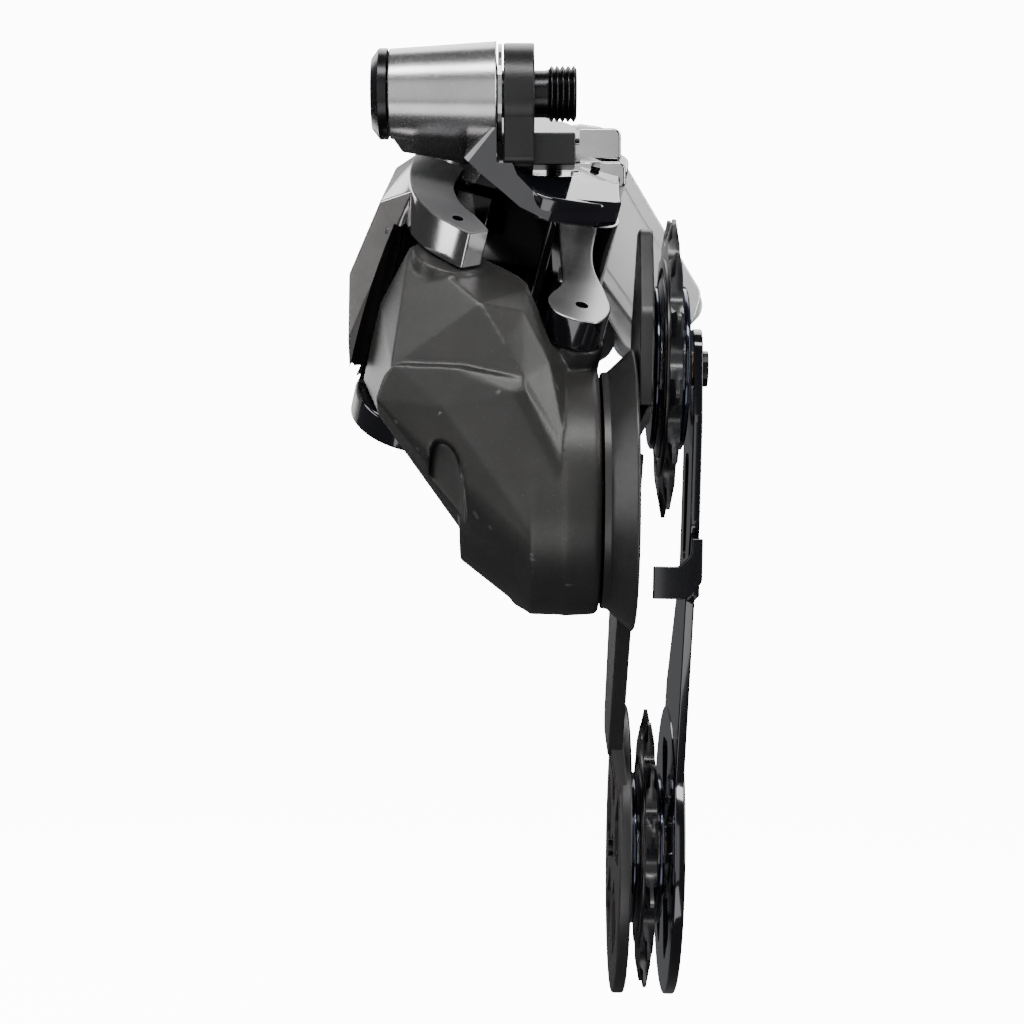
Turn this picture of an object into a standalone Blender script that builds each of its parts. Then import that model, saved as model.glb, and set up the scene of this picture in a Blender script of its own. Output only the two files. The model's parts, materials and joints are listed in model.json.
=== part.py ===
"""Rear bicycle derailleur with a battery-driven parallelogram, at real size.

Frame: the origin is on the hanger bolt's axis at the hanger's outboard face.
+X points inboard (towards the wheel), +Y rearward, +Z up. Sizes are in millimetres.
"""
import math

import bmesh
import bpy
from mathutils import Matrix, Vector

MM = 0.001
GAP = 0.3                      # clearance between neighbouring pieces

# Hanger bolt group, about the X axis through the origin
THREAD_R, THREAD_ROOT_R, THREAD_PITCH, THREAD_TURNS = 5.0, 4.35, 1.0, 5
THREAD_END, THREAD_START = 7.4, 1.8
AXLE_R, AXLE_CORE_R = 4.2, 3.2
TUBE_OUT, TUBE_IN = -26.2, -7.0
TUBE_BORE_R, BORE_BLANK_R = 5.8, 4.8
CAP_R, CAP_END_R, CAP_END = 8.1, 6.3, -29.4
STOP_PLATE_R, STOP_CLEAR_R = 9.0, 14.7

# Parallelogram: pin direction, link vector and pivot places
PIN_DIR = Vector((0.22, -0.52, 0.826)).normalized()
LINK_LENGTH = 41.64
LINK_OUTER_TOP = Vector((-10.7, 25.5, -2.25))
INNER_BASE_UV = (1.8, 24.9)
INNER_OFFSET_UV = (43.44, 24.9)
PIN_R, PIN_BORE_R = 2.0, 2.3
FULL_SWING, LUG_ROOM = 50.0, 6.7
LUG_TOP, LUG_LOW = -7.4, -36.0

# Lower knuckle and cage
P_AXIS_Y, P_AXIS_Z = 4.0, -71.4
KNUCKLE_R, KNUCKLE_FACE = 22.8, 11.3
CAGE_TILT = math.radians(1.2)
GUIDE_CENTRE = Vector((25.1, 18.2, -48.1))
TENSION_YB = (36.9, -96.62)
P_AXIS_YB = (-14.2, -23.3)
TEETH, TIP_R, ROOT_R, TOOTH_HALF = 13, 28.5, 22.7, 1.1

# Battery block: long axis runs down and inboard, thickness runs to the other side
BATTERY_CORNER = Vector((17.9, 0.0, -1.3))
BATTERY_SLOPE = math.radians(59.3)
BATTERY_LONG, BATTERY_THICK = 37.5, 19.0
BATTERY_Y, BATTERY_DEEP = 57.9, 26.0
GEAR_REACH = 4.5

PAINT = {
    "graphite": ((0.045, 0.043, 0.042), 0.45, 0.6),
    "silver": ((0.36, 0.36, 0.37), 0.3, 0.9),
    "gloss_black": ((0.01, 0.01, 0.012), 0.15, 0.8),
    "satin_black": ((0.015, 0.015, 0.015), 0.4, 0.5),
    "black_oxide": ((0.02, 0.02, 0.022), 0.35, 0.9),
    "light_grey": ((0.3, 0.3, 0.3), 0.4, 0.8),
    "steel": ((0.55, 0.55, 0.56), 0.25, 1.0),
    "bronze": ((0.3, 0.2, 0.1), 0.4, 0.9),
    "polymer": ((0.02, 0.02, 0.02), 0.5, 0.0),
    "rubber": ((0.01, 0.01, 0.01), 0.8, 0.0),
    "green_board": ((0.02, 0.12, 0.05), 0.5, 0.0),
    "lens": ((0.8, 0.9, 0.85), 0.1, 0.0),
    "pulley": ((0.012, 0.012, 0.014), 0.35, 0.0),
    "ring_blue": ((0.02, 0.03, 0.07), 0.2, 0.3),
}

for old in list(bpy.data.objects):
    bpy.data.objects.remove(old, do_unlink=True)


def new_collection(name):
    collection = bpy.data.collections.new(name)
    bpy.context.scene.collection.children.link(collection)
    return collection


PARTS = new_collection("rear_derailleur")
TOOLS = new_collection("cutters")
PIVOTS = {}


# ---- frames ----

def link_point(u, v, w):
    """A point of the parallelogram's frame: u along the links, v across, w along the pins."""
    return LINK_OUTER_TOP + U_DIR * u + V_DIR * v + PIN_DIR * w


def frame_from(x_dir, y_dir, z_dir, origin):
    matrix = Matrix((x_dir, y_dir, z_dir)).transposed().to_4x4()
    matrix.translation = origin * MM
    return matrix


link_run = Vector((-3.0, -35.5, 0.0))
link_run.z = -(link_run.x * PIN_DIR.x + link_run.y * PIN_DIR.y) / PIN_DIR.z
U_DIR = link_run.normalized()
V_DIR = PIN_DIR.cross(U_DIR)


def link_frame(u=0.0, v=0.0, w=0.0):
    return frame_from(U_DIR, V_DIR, PIN_DIR, link_point(u, v, w))


def side_frame(y=0.0, z=0.0):
    """Outline plane YZ, with the third axis along +X."""
    return frame_from(Vector((0, 1, 0)), Vector((0, 0, 1)), Vector((1, 0, 0)), Vector((0, y, z)))


def cage_frame(y=0.0, b=0.0):
    """The cage's own plane through the guide pulley's centre, leaning by CAGE_TILT."""
    up = Vector((math.sin(CAGE_TILT), 0, math.cos(CAGE_TILT)))
    inboard = Vector((math.cos(CAGE_TILT), 0, -math.sin(CAGE_TILT)))
    rear = Vector((0, 1, 0))
    return frame_from(rear, up, inboard, GUIDE_CENTRE + rear * y + up * b)


def battery_frame(long=0.0, thick=0.0, y=0.0):
    """Local x runs down the battery, y runs through its thickness, z rearward."""
    down = Vector((math.cos(BATTERY_SLOPE), 0, -math.sin(BATTERY_SLOPE)))
    across = Vector((-math.sin(BATTERY_SLOPE), 0, -math.cos(BATTERY_SLOPE)))
    origin = BATTERY_CORNER + down * long + across * thick + Vector((0, y, 0))
    return frame_from(down, across, down.cross(across), origin)


def turn_frame(x, y, z, axis):
    """Local z along +Y or along another axis, for turned pieces."""
    z_dir = axis.normalized()
    x_dir = z_dir.orthogonal().normalized()
    return frame_from(x_dir, z_dir.cross(x_dir), z_dir, Vector((x, y, z)))


# ---- solids ----

def material(name):
    found = bpy.data.materials.get(name)
    if found:
        return found
    colour, rough, metal = PAINT[name]
    made = bpy.data.materials.new(name)
    made.use_nodes = True
    shader = made.node_tree.nodes["Principled BSDF"]
    shader.inputs["Base Color"].default_value = (*colour, 1.0)
    shader.inputs["Roughness"].default_value = rough
    shader.inputs["Metallic"].default_value = metal
    return made


def add_object(name, mesh, matrix):
    obj = bpy.data.objects.new(name, mesh)
    PARTS.objects.link(obj)
    obj.matrix_world = matrix
    return obj


def turned(name, profile, matrix, sides=32):
    """Solid of revolution about the frame's Z; the profile runs down its outer side."""
    count = len(profile)
    edges = [(i, i + 1) for i in range(count - 1)]
    if profile[0][0] > 0:
        edges.append((count - 1, 0))
    mesh = bpy.data.meshes.new(name)
    mesh.from_pydata([(r * MM, 0.0, z * MM) for r, z in profile], edges, [])
    obj = add_object(name, mesh, matrix)
    screw = obj.modifiers.new("Turn", "SCREW")
    screw.steps = sides
    screw.render_steps = sides
    screw.use_merge_vertices = True
    screw.merge_threshold = 0.00001
    return obj


def disc(name, radius, low, high, matrix, bore=0.0, sides=32):
    if bore:
        profile = [(radius, high), (radius, low), (bore, low), (bore, high)]
    else:
        profile = [(0, high), (radius, high), (radius, low), (0, low)]
    return turned(name, profile, matrix, sides)


def rounded(corners, steps=4):
    """Outline points from corners (x, y) or (x, y, radius); a radius becomes an arc."""
    points = []
    count = len(corners)
    for i, corner in enumerate(corners):
        here = Vector(corner[:2])
        if len(corner) == 2:
            points.append(here)
            continue
        back = (Vector(corners[i - 1][:2]) - here).normalized()
        ahead = (Vector(corners[(i + 1) % count][:2]) - here).normalized()
        half = back.angle(ahead) / 2
        reach = corner[2] / math.tan(half)
        centre = here + (back + ahead).normalized() * (corner[2] / math.sin(half))
        first = here + back * reach - centre
        last = here + ahead * reach - centre
        sweep = first.angle_signed(last)
        for step in range(steps + 1):
            turn = Matrix.Rotation(-sweep * step / steps, 2)
            points.append(centre + turn @ first)
    return points


def circle(radius, x=0.0, y=0.0, sides=24):
    step = 2 * math.pi / sides
    return [(x + radius * math.cos(i * step), y + radius * math.sin(i * step)) for i in range(sides)]


def prism(name, outlines, low, high, matrix):
    """Flat outline, with any holes after it, between two heights of the frame."""
    curve = bpy.data.curves.new(name, "CURVE")
    curve.dimensions = "2D"
    curve.fill_mode = "BOTH"
    curve.extrude = (high - low) / 2 * MM
    for outline in outlines:
        spline = curve.splines.new("POLY")
        spline.points.add(len(outline) - 1)
        for point, (x, y) in zip(spline.points, outline):
            point.co = (x * MM, y * MM, 0.0, 1.0)
        spline.use_cyclic_u = True
    middle = matrix @ Matrix.Translation((0, 0, (low + high) / 2 * MM))
    return curve_to_mesh(add_object(name + "_outline", curve, middle), name)


def curve_to_mesh(source, name):
    bpy.context.view_layer.update()
    graph = bpy.context.evaluated_depsgraph_get()
    mesh = bpy.data.meshes.new_from_object(source.evaluated_get(graph))
    form = bmesh.new()
    form.from_mesh(mesh)
    bmesh.ops.remove_doubles(form, verts=form.verts, dist=0.000001)
    form.to_mesh(mesh)
    form.free()
    mesh.materials.clear()
    result = add_object(name, mesh, source.matrix_world.copy())
    bpy.data.objects.remove(source, do_unlink=True)
    return result


def hull(name, points, matrix):
    """The convex solid round the given points of the frame."""
    form = bmesh.new()
    for point in points:
        form.verts.new(Vector(point) * MM)
    made = bmesh.ops.convex_hull(form, input=form.verts)
    loose = [v for v in set(made["geom_interior"] + made["geom_unused"]) if isinstance(v, bmesh.types.BMVert)]
    bmesh.ops.delete(form, geom=loose, context="VERTS")
    bmesh.ops.dissolve_limit(form, angle_limit=0.01, verts=form.verts, edges=form.edges)
    bmesh.ops.recalc_face_normals(form, faces=form.faces)
    mesh = bpy.data.meshes.new(name)
    form.to_mesh(mesh)
    form.free()
    return add_object(name, mesh, matrix)


def block(name, lows, highs, matrix):
    """A box between two opposite corners of the frame."""
    form = bmesh.new()
    bmesh.ops.create_cube(form, size=1.0)
    for vert in form.verts:
        for axis in range(3):
            limit = highs if vert.co[axis] > 0 else lows
            vert.co[axis] = limit[axis] * MM
    mesh = bpy.data.meshes.new(name)
    form.to_mesh(mesh)
    form.free()
    return add_object(name, mesh, matrix)


def coil(name, radius, wire_r, low, high, turns, matrix):
    """A helical spring about the frame's Z."""
    curve = bpy.data.curves.new(name, "CURVE")
    curve.dimensions = "3D"
    curve.bevel_depth = wire_r * MM
    curve.bevel_resolution = 2
    curve.use_fill_caps = True
    steps = 10
    total = turns * steps
    spline = curve.splines.new("POLY")
    spline.points.add(total)
    for i, point in enumerate(spline.points):
        angle = 2 * math.pi * i / steps
        height = low + (high - low) * i / total
        point.co = (radius * MM * math.cos(angle), radius * MM * math.sin(angle), height * MM, 1.0)
    return add_object(name, curve, matrix)


def combine(obj, others, operation):
    for other in others:
        mod = obj.modifiers.new(other.name, "BOOLEAN")
        mod.object = other
        mod.operation = operation
        mod.solver = "EXACT"
        PARTS.objects.unlink(other)
        TOOLS.objects.link(other)
        other.hide_render = True
        other.display_type = "WIRE"


def join(obj, *others):
    combine(obj, others, "UNION")


def cut(obj, *others):
    combine(obj, others, "DIFFERENCE")


def pivot(name, place):
    empty = bpy.data.objects.new("pivot_" + name, None)
    PARTS.objects.link(empty)
    empty.location = place * MM
    PIVOTS[name] = empty


def finish(obj, paint, body):
    obj.data.materials.clear()
    obj.data.materials.append(material(paint))
    keep = obj.matrix_world.copy()
    obj.parent = PIVOTS[body]
    obj.matrix_parent_inverse = Matrix.Translation(-PIVOTS[body].location)
    obj.matrix_world = keep


# ---- hanger bolt group ----

def bracket_axle():
    profile = [(0, THREAD_END), (THREAD_ROOT_R, THREAD_END)]
    for turn in range(THREAD_TURNS):
        crest = THREAD_END - 0.5 - turn * THREAD_PITCH
        profile += [(THREAD_R, crest), (THREAD_ROOT_R, crest - THREAD_PITCH / 2)]
    profile += [(AXLE_R, THREAD_START), (AXLE_R, -8.8), (AXLE_CORE_R, -9.3), (AXLE_CORE_R, -20.3)]
    profile += [(4.4, -20.8), (4.4, TUBE_OUT - GAP), (CAP_R, TUBE_OUT - GAP), (CAP_R, -28.0)]
    profile += [(CAP_END_R, CAP_END), (0, CAP_END)]
    axle = turned("bracket_axle", profile, side_frame(), 24)
    cut(axle, disc("hex_socket", 2.9, -30.0, -25.0, side_frame(), sides=6))
    finish(axle, "black_oxide", "hanger_mount")


def stop_plate():
    plate = disc("stop_plate", STOP_PLATE_R, -5.7, -0.2, side_frame(), sides=32)
    foot = rounded([(-7.5, -3), (-6.0, -14.0, 2.5), (5.0, -14.0, 1.5), (7.5, -3)])
    lug = [(-2.0, -13.0), (4.6, -13.0), (4.6, -8.0), (3.6, -7.2), (-2.0, -7.2)]
    join(plate, prism("stop_foot", [foot], -5.5, -0.4, side_frame()))
    join(plate, prism("stop_lug", [lug], -2.5, 7.2, side_frame()))
    cut(plate, disc("stop_bore", AXLE_R + GAP, -8, 2, side_frame()))
    finish(plate, "satin_black", "hanger_mount")


def small_b_parts():
    washer = disc("thrust_washer", 8.8, -6.7, -6.0, side_frame(), bore=AXLE_R + GAP)
    finish(washer, "steel", "hanger_mount")
    bush = disc("b_bush_inner", TUBE_BORE_R - GAP, -8.6, -7.1, side_frame(), AXLE_R + GAP, 24)
    finish(bush, "bronze", "base_knuckle")
    bush = disc("b_bush_outer", TUBE_BORE_R - GAP, -25.9, -21.2, side_frame(), 4.7, 24)
    finish(bush, "bronze", "base_knuckle")
    spring = coil("b_spring", 4.5, 0.5, -20.2, -9.8, 4, side_frame())
    finish(spring, "steel", "base_knuckle")


# ---- upper knuckle ----

def tube_circle(x, radius, sides=14):
    return [(x, radius * c, radius * s) for c, s in circle(1.0, sides=sides)]


def linkage_base():
    tube = [(9.4, TUBE_IN), (8.0, TUBE_OUT), (BORE_BLANK_R, TUBE_OUT), (BORE_BLANK_R, TUBE_IN)]
    base = turned("linkage_base", tube, side_frame(), 40)
    patch = [link_point(*p) for p in ((17.3, -1, 1), (10, -5, 1), (3, -5, 1), (18, 5, 1), (6, 6, 1))]
    patch.append(Vector((-24.2, 5.0, -9.6)))
    fairing = tube_circle(-25.7, 7.9) + tube_circle(-7.3, 9.3) + [tuple(p) for p in patch]
    join(base, hull("fairing", fairing, Matrix()))
    front = rounded([(-12.8, -6, 3), (17.3, -1, 2), (26.5, 6), (36, 13.3, 2), (35.5, 19), (34, 24.4),
                     (30.6, 28.4, 1.5), (24.9, 27.6), (5.6, 27), (1, 24), (-2, 12), (-12.8, 6)])
    join(base, prism("front_plate", [front], 0.8, 5.5, link_frame()))
    fork = rounded([(-13, -7), (7, -7, 6), (8.6, 18), (8.6, 29.6, 5), (-2, 29.6, 3), (-13, 17)])
    join(base, prism("fork_top", [fork], -7.6, 1.4, link_frame()))
    join(base, prism("fork_low", [fork], -41.2, -35.6, link_frame()))
    wall = [(-13.1, -6.8), (-7.6, -6.8), (-7.6, 20.0), (-13.1, 14.0)]
    join(base, prism("rear_wall", [wall], -41.0, 1.2, link_frame()))
    join(base, block("step_high", (8.9, 13.0, -9.6), (16.2, 26.0, -3.6), Matrix()))
    join(base, block("step_low", (9.2, 8.0, -15.4), (16.8, 26.3, -10.7), Matrix()))
    boss = turn_frame(3.6, 13.0, -10.1, Vector((0, 1, 0)))
    join(base, disc("screw_boss", 3.3, -3.5, 3.0, boss, sides=16))
    cut(base, disc("tube_bore", TUBE_BORE_R, -30, -6.5, side_frame(), sides=28))
    cut(base, disc("stop_clearance", STOP_CLEAR_R, -6.95, 8.4, side_frame(), sides=40))
    cut(base, disc("screw_bore", 1.8, -14, 14, boss, sides=12))
    cut(base, disc("screw_head_bore", 2.7, 4.3, 16, boss, sides=14))
    for name, (u, v) in (("outer", (0, 0)), ("inner", INNER_BASE_UV)):
        cut(base, disc("base_bore_" + name, PIN_BORE_R, -43, -1.5, link_frame(u, v), sides=20))
    for name, x_shift in (("high", 0.0), ("low", 7.0)):
        seat = limit_seat(x_shift)
        cut(base, disc("limit_bore_" + name, 1.3, -9, 1, seat, sides=12))
    finish(base, "gloss_black", "base_knuckle")


def limit_seat(shift):
    """Axis of a limit screw, entering the front plate's edge along +u."""
    return turn_frame(*link_point(35.0 - shift * 0.25, 16.0 + shift, 3.1), U_DIR)


def base_small_parts():
    for name, shift in (("high", 0.0), ("low", 7.0)):
        profile = [(0, -0.6), (1.0, -0.6), (1.0, -8.2), (0, -8.2)]
        screw = turned("limit_screw_" + name, profile, limit_seat(shift), 12)
        finish(screw, "steel", "base_knuckle")
    for name, (u, v) in (("outer", (0, 0)), ("inner", INNER_BASE_UV)):
        pin = disc("base_pin_" + name, PIN_R, -41.0, -1.9, link_frame(u, v), sides=20)
        finish(pin, "steel", "base_knuckle")
    profile = [(0, 7.2), (2.2, 7.2), (2.2, 5.0), (1.5, 4.7), (1.5, -7.4), (1.0, -8.0), (0, -8.0)]
    screw = turned("b_tension_screw", profile, turn_frame(3.6, 13.0, -10.1, Vector((0, 1, 0))), 16)
    finish(screw, "steel", "b_tension_screw")


# ---- motor and battery ----

def motor_housing():
    outer = rounded([(-5, 19.4, 2), (34, 19.4, 3), (34, 38, 6), (-5, 38, 6)])
    frame = battery_frame()
    housing = prism("motor_housing", [outer], 42.0, 72.0, frame)
    cavity = rounded([(-2.5, 21.4, 1), (31.5, 21.4, 1), (31.5, 34.4, 3), (-2.5, 34.4, 3)])
    cut(housing, prism("motor_cavity", [cavity], 61.0, 73.0, frame))
    cut(housing, block("base_clearance", (-13.0 - GAP, -60, -90), (60, 80, 60), link_frame()))
    seat = button_frame()
    cut(housing, disc("button_pocket", 3.6, -3.0, 2.0, seat, sides=20))
    cut(housing, disc("lens_pocket", 1.5, -1.6, 2.0, seat @ Matrix.Translation((6 * MM, 0, 0)), sides=12))
    finish(housing, "satin_black", "base_knuckle")
    cover = prism("motor_cover", [outer], 72.3, 74.3, frame)
    for i, (a, b) in enumerate(((-2.0, 36.0), (31.5, 35.5))):
        cut(cover, disc("cover_bore_%d" % i, 1.3, 70, 80, battery_frame(a, b), sides=10))
        cut(housing, disc("cover_thread_%d" % i, 1.3, 66, 80, battery_frame(a, b), sides=10))
        profile = [(0, 76.0), (2.0, 76.0), (2.0, 74.6), (1.0, 74.6), (1.0, 66.6), (0, 66.6)]
        screw = turned("cover_screw_%d" % (i + 1), profile, battery_frame(a, b), 12)
        finish(screw, "steel", "base_knuckle")
    finish(cover, "satin_black", "base_knuckle")


def battery_mount():
    """The plate that the battery slides onto, in front of it."""
    shape = rounded([(-9.5, 3.5, 2), (-6.5, -0.2, 2), (33.5, -0.2, 4), (38, 4.5, 4), (36, 15, 3), (-4, 19.1, 2),
                     (-13, 12, 2)])
    mount = prism("battery_mount", [shape], 54.6, 57.4, battery_frame())
    finish(mount, "light_grey", "base_knuckle")


def button_frame():
    """Local z points out of the motor housing's outboard face."""
    place = battery_frame(13.0, 38.0, 65.0)
    down = place.to_3x3().col[0]
    across = place.to_3x3().col[1]
    return frame_from(down, across.cross(down), across, place.translation / MM)


def drive_parts():
    motor = disc("motor", 4.4, 2.0, 18.0, motor_axis(), sides=24)
    finish(motor, "steel", "base_knuckle")
    board = block("circuit_board", (0, 21.8, 61.6), (17.5, 22.5, 71.4), battery_frame())
    finish(board, "green_board", "base_knuckle")
    teeth = [p for i in range(10) for p in gear_tooth(i, 10, 1.25, 1.75)]
    finish(prism("motor_pinion", [teeth], 18.4, 21.6, motor_axis()), "steel", "motor_pinion")
    gear = [p for i in range(16) for p in gear_tooth(i, 16, 2.1, 2.6)]
    wheel = prism("drive_gear", [gear], 18.4, 21.6, gear_axis())
    finish(wheel, "bronze", "drive_gear")


def gear_axis():
    return motor_axis() @ Matrix.Translation((0, GEAR_REACH * MM, 0))


def motor_axis():
    """Local z runs down the motor; local x points rearward, y towards the battery."""
    place = battery_frame(0.0, 29.5, 65.9)
    down = place.to_3x3().col[0]
    rear = Vector((0, 1, 0))
    return frame_from(rear, down.cross(rear), down, place.translation / MM)


def gear_tooth(index, count, root, tip):
    pitch = 2 * math.pi / count
    marks = ((-0.5, root), (-0.3, root), (-0.12, tip), (0.12, tip), (0.3, root))
    return [(r * math.cos((index + f) * pitch), r * math.sin((index + f) * pitch)) for f, r in marks]


def battery():
    shape = rounded([(-0.3, 0.0, 2.5), (BATTERY_LONG, 0.0, 4), (BATTERY_LONG, BATTERY_THICK, 4),
                     (-0.3, BATTERY_THICK, 2.5)])
    frame = battery_frame()
    case = prism("battery_case", [shape], BATTERY_Y, BATTERY_Y + BATTERY_DEEP - 2, frame)
    room = rounded([(1.5, 1.8, 1.5), (35.7, 1.8, 2.5), (35.7, 17.2, 2.5), (1.5, 17.2, 1.5)])
    cut(case, prism("battery_room", [room], BATTERY_Y + 1.8, 90, frame))
    finish(case, "light_grey", "base_knuckle")
    lid = prism("battery_lid", [shape], BATTERY_Y + BATTERY_DEEP - 1.7, BATTERY_Y + BATTERY_DEEP, frame)
    finish(lid, "light_grey", "base_knuckle")
    cell = rounded([(2.2, 2.4, 1.5), (35.0, 2.4, 2), (35.0, 16.6, 2), (2.2, 16.6, 1.5)])
    cells = prism("battery_cells", [cell], BATTERY_Y + 2.4, BATTERY_Y + BATTERY_DEEP - 2.6, frame)
    finish(cells, "steel", "base_knuckle")


def battery_latch():
    """An arm over the battery's upper end that hooks over its rear face."""
    hinge = latch_axis()
    arm = [(-2.0, -1.2), (0.0, -2.3), (25.9, -2.3), (25.9, 9.0), (24.1, 9.0), (24.1, 2.2), (0.5, 2.2),
           (-2.0, 1.2)]
    latch = prism("battery_latch", [arm], -6.0, 6.0, hinge)
    cut(latch, disc("latch_bore", 1.2, -9, 9, hinge, sides=12))
    finish(latch, "satin_black", "battery_latch")
    pin = disc("latch_pin", 0.9, -8.6, 8.6, hinge, sides=12)
    finish(pin, "steel", "base_knuckle")


def latch_axis():
    """Local z along the latch's hinge, x rearward, y down the battery."""
    place = battery_frame(-3.4, BATTERY_THICK / 2, BATTERY_Y + 2.5)
    down = place.to_3x3().col[0]
    rear = Vector((0, 1, 0))
    return frame_from(rear, down, rear.cross(down), place.translation / MM)


def button_and_lens():
    seat = button_frame()
    profile = [(0, 0.6), (2.6, 0.6), (3.2, 0.2), (3.2, -1.6), (0, -1.6)]
    finish(turned("function_button", profile, seat, 20), "polymer", "function_button")
    lens = disc("led_lens", 1.2, -1.2, 0.1, seat @ Matrix.Translation((6 * MM, 0, 0)), sides=12)
    finish(lens, "lens", "base_knuckle")


# ---- links ----

def outer_link():
    hook = rounded([(15.7, -10.4), (26.1, -10.4), (35, -8.7), (41.4, -5.0), (45.1, -0.2), (46.6, 2.6),
                    (43.4, 5.8), (37.8, 2.6, 5), (34.6, -0.5, 8), (26.6, -2.0, 10), (18.7, -0.9)])
    link = prism("outer_link", [hook], -7.0, 0.0, link_frame())
    web = [(0, -6), (12, -10.5), (30, -12.6), (34.5, -12.2), (34.2, 3.0), (30, 5.0), (0, 6)]
    join(link, prism("web", [web], -35.0, -8.3, link_frame()))
    neck = [(17, -9.7), (33.2, -8.8), (32.1, -3.0), (19.3, -3.0)]
    join(link, prism("neck", [neck], -10.0, -5.5, link_frame()))
    join(link, disc("base_barrel", 6.0, -35.2, -8.0, link_frame(), sides=24))
    panel = [(15.9, -10.2, -0.6), (26, -10.2, -0.6), (33, -9, -0.6), (14, -13.5, -5), (31, -14.4, -5),
             (13, -15, -18), (34.5, -17.1, -19), (14, -13, -33), (40.5, -14.6, -29), (43.5, -12.5, -36),
             (22, -9, -38), (34, -9, -5), (36, -9, -36), (20, -8, -20)]
    join(link, hull("panel", panel, link_frame()))
    low_ear = [(18, -8.5), (30, -11.0), (41, -11.2), (41, 8), (24, 3)]
    join(link, prism("low_ear_arm", [low_ear], -41.4, -34.3, link_frame()))
    join(link, disc("low_ear", 11.5, -42.0, -36.5, link_frame(LINK_LENGTH), sides=32))
    cut(link, disc("knuckle_sweep", 13.2, -36.3, -7.1, link_frame(LINK_LENGTH), sides=32))
    cut(link, disc("fork_low_clearance", 14.0, -43.0, -35.3, link_frame(), sides=24))
    cut(link, disc("outer_link_bore", PIN_BORE_R, -36, -6, link_frame(), sides=20))
    cut(link, disc("outer_ear_bore", PIN_BORE_R, -43, -1.4, link_frame(LINK_LENGTH), sides=20))
    cut(link, disc("outer_ear_eye", 1.0, -3, 1, link_frame(LINK_LENGTH), sides=12))
    finish(link, "silver", "outer_link")


def inner_link():
    u0, v0 = INNER_BASE_UV
    ear = rounded([(8, 18.6), (28.4, 18.9), (36, 20.6), (43.5, 18.6), (48.9, 21.0, 2), (48.9, 27.5, 3),
                   (43, 30.2, 3), (36, 29.4), (24.4, 26.2), (8, 26.4)])
    link = prism("inner_link", [ear], -15.9, -9.9, link_frame())
    join(link, disc("inner_barrel", 5.8, -35.2, -10.2, link_frame(u0, v0), sides=24))
    web = [(u, v, w) for u, low in ((u0, -34.8), (12, -34.8), (34.5, -20.0))
           for v in (20.2, 26.0) for w in (low, -10.4)]
    join(link, hull("inner_web", web, link_frame()))
    cut(link, disc("inner_base_bore", PIN_BORE_R, -37, -9, link_frame(u0, v0), sides=20))
    cut(link, disc("inner_ear_bore", PIN_BORE_R, -37, -11.2, link_frame(*INNER_OFFSET_UV), sides=20))
    cut(link, disc("inner_ear_eye", 1.2, -12, -9, link_frame(*INNER_OFFSET_UV), sides=12))
    cut(link, disc("inner_lug_sweep", 6.7, -33.5, -15.8, link_frame(*INNER_OFFSET_UV), sides=24))
    finish(link, "light_grey", "inner_link")


# ---- lower knuckle ----

def knuckle_frame():
    return side_frame(P_AXIS_Y, P_AXIS_Z)


def knuckle_housing():
    cup = [(0, KNUCKLE_FACE), (21.9, KNUCKLE_FACE), (KNUCKLE_R, KNUCKLE_FACE - 0.9), (KNUCKLE_R, 4.5),
           (22.5, -0.9), (12.5, -13.6), (0, -13.6)]
    body = turned("knuckle_housing", cup, knuckle_frame(), 40)
    join(body, hull("arm", knuckle_arm() + drum_ring(), Matrix()), hull("lip", knuckle_lip() + drum_ring(), Matrix()))
    join(body, disc("outer_lug", 6.5, LUG_LOW, LUG_TOP, link_frame(LINK_LENGTH), sides=24))
    join(body, disc("inner_lug", 5.8, -26.0, -16.3, link_frame(*INNER_OFFSET_UV), sides=24))
    cut(body, disc("low_ear_room", 12.0, -42.4, -36.1, link_frame(LINK_LENGTH), sides=32))
    cut(body, disc("top_ear_room", 40.0, -7.2, 30.0, link_frame(LINK_LENGTH), sides=24))
    cut(body, disc("inner_ear_room", 7.6, -16.2, 0.0, link_frame(*INNER_OFFSET_UV), sides=24))
    cut(body, prism("inner_link_room", [inner_sweep()], -27.0, 5.0, link_frame(*INNER_OFFSET_UV)))
    cut(body, disc("spring_room", 17.5, -1.0, 14.0, knuckle_frame(), sides=36))
    cut(body, disc("axle_room", 6.3, -10.0, 14.0, knuckle_frame(), sides=24))
    cut(body, disc("outer_lug_bore", PIN_BORE_R, -48, -5, link_frame(LINK_LENGTH), sides=20))
    cut(body, disc("inner_lug_bore", PIN_BORE_R, -23.5, -10, link_frame(*INNER_OFFSET_UV), sides=20))
    finish(body, "graphite", "p_knuckle")


def knuckle_arm():
    """The faceted body above the drum: outboard facet, crease and inboard band."""
    top = [(-22.3, -5.9, -28.1), (-18.6, -8.5, -30.8), (-15.6, -8.3, -31.4), (-8.1, -4.4, -31.0),
           (-5.4, -5.1, -32.1)]
    crease = [(-9.6, -16.0, -39.3), (-5.5, -17.5, -46.3), (-2.2, -18.4, -52.4), (-1.2, -18.6, -56.6)]
    band = [(-1.6, -9.0, -36.3), (6.2, -3.0, -49.6), (-2.2, -13.5, -40.4), (2.4, -14.5, -49.4), (5.0, -14.0, -57.4)]
    pocket = [(-25.2, -13.2, -50.2), (-14.0, -16.0, -51.2), (-10.8, -17.4, -53.4)]
    back = [link_point(*p) for p in ((39, 6.4, -7.6), (42.6, 14.4, -8.0), (37.5, -3, -7.6), (41, -10.3, -20),
                                     (42, -10.4, -35.5), (56, -6, -33.7))]
    return top + crease + band + pocket + back


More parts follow.
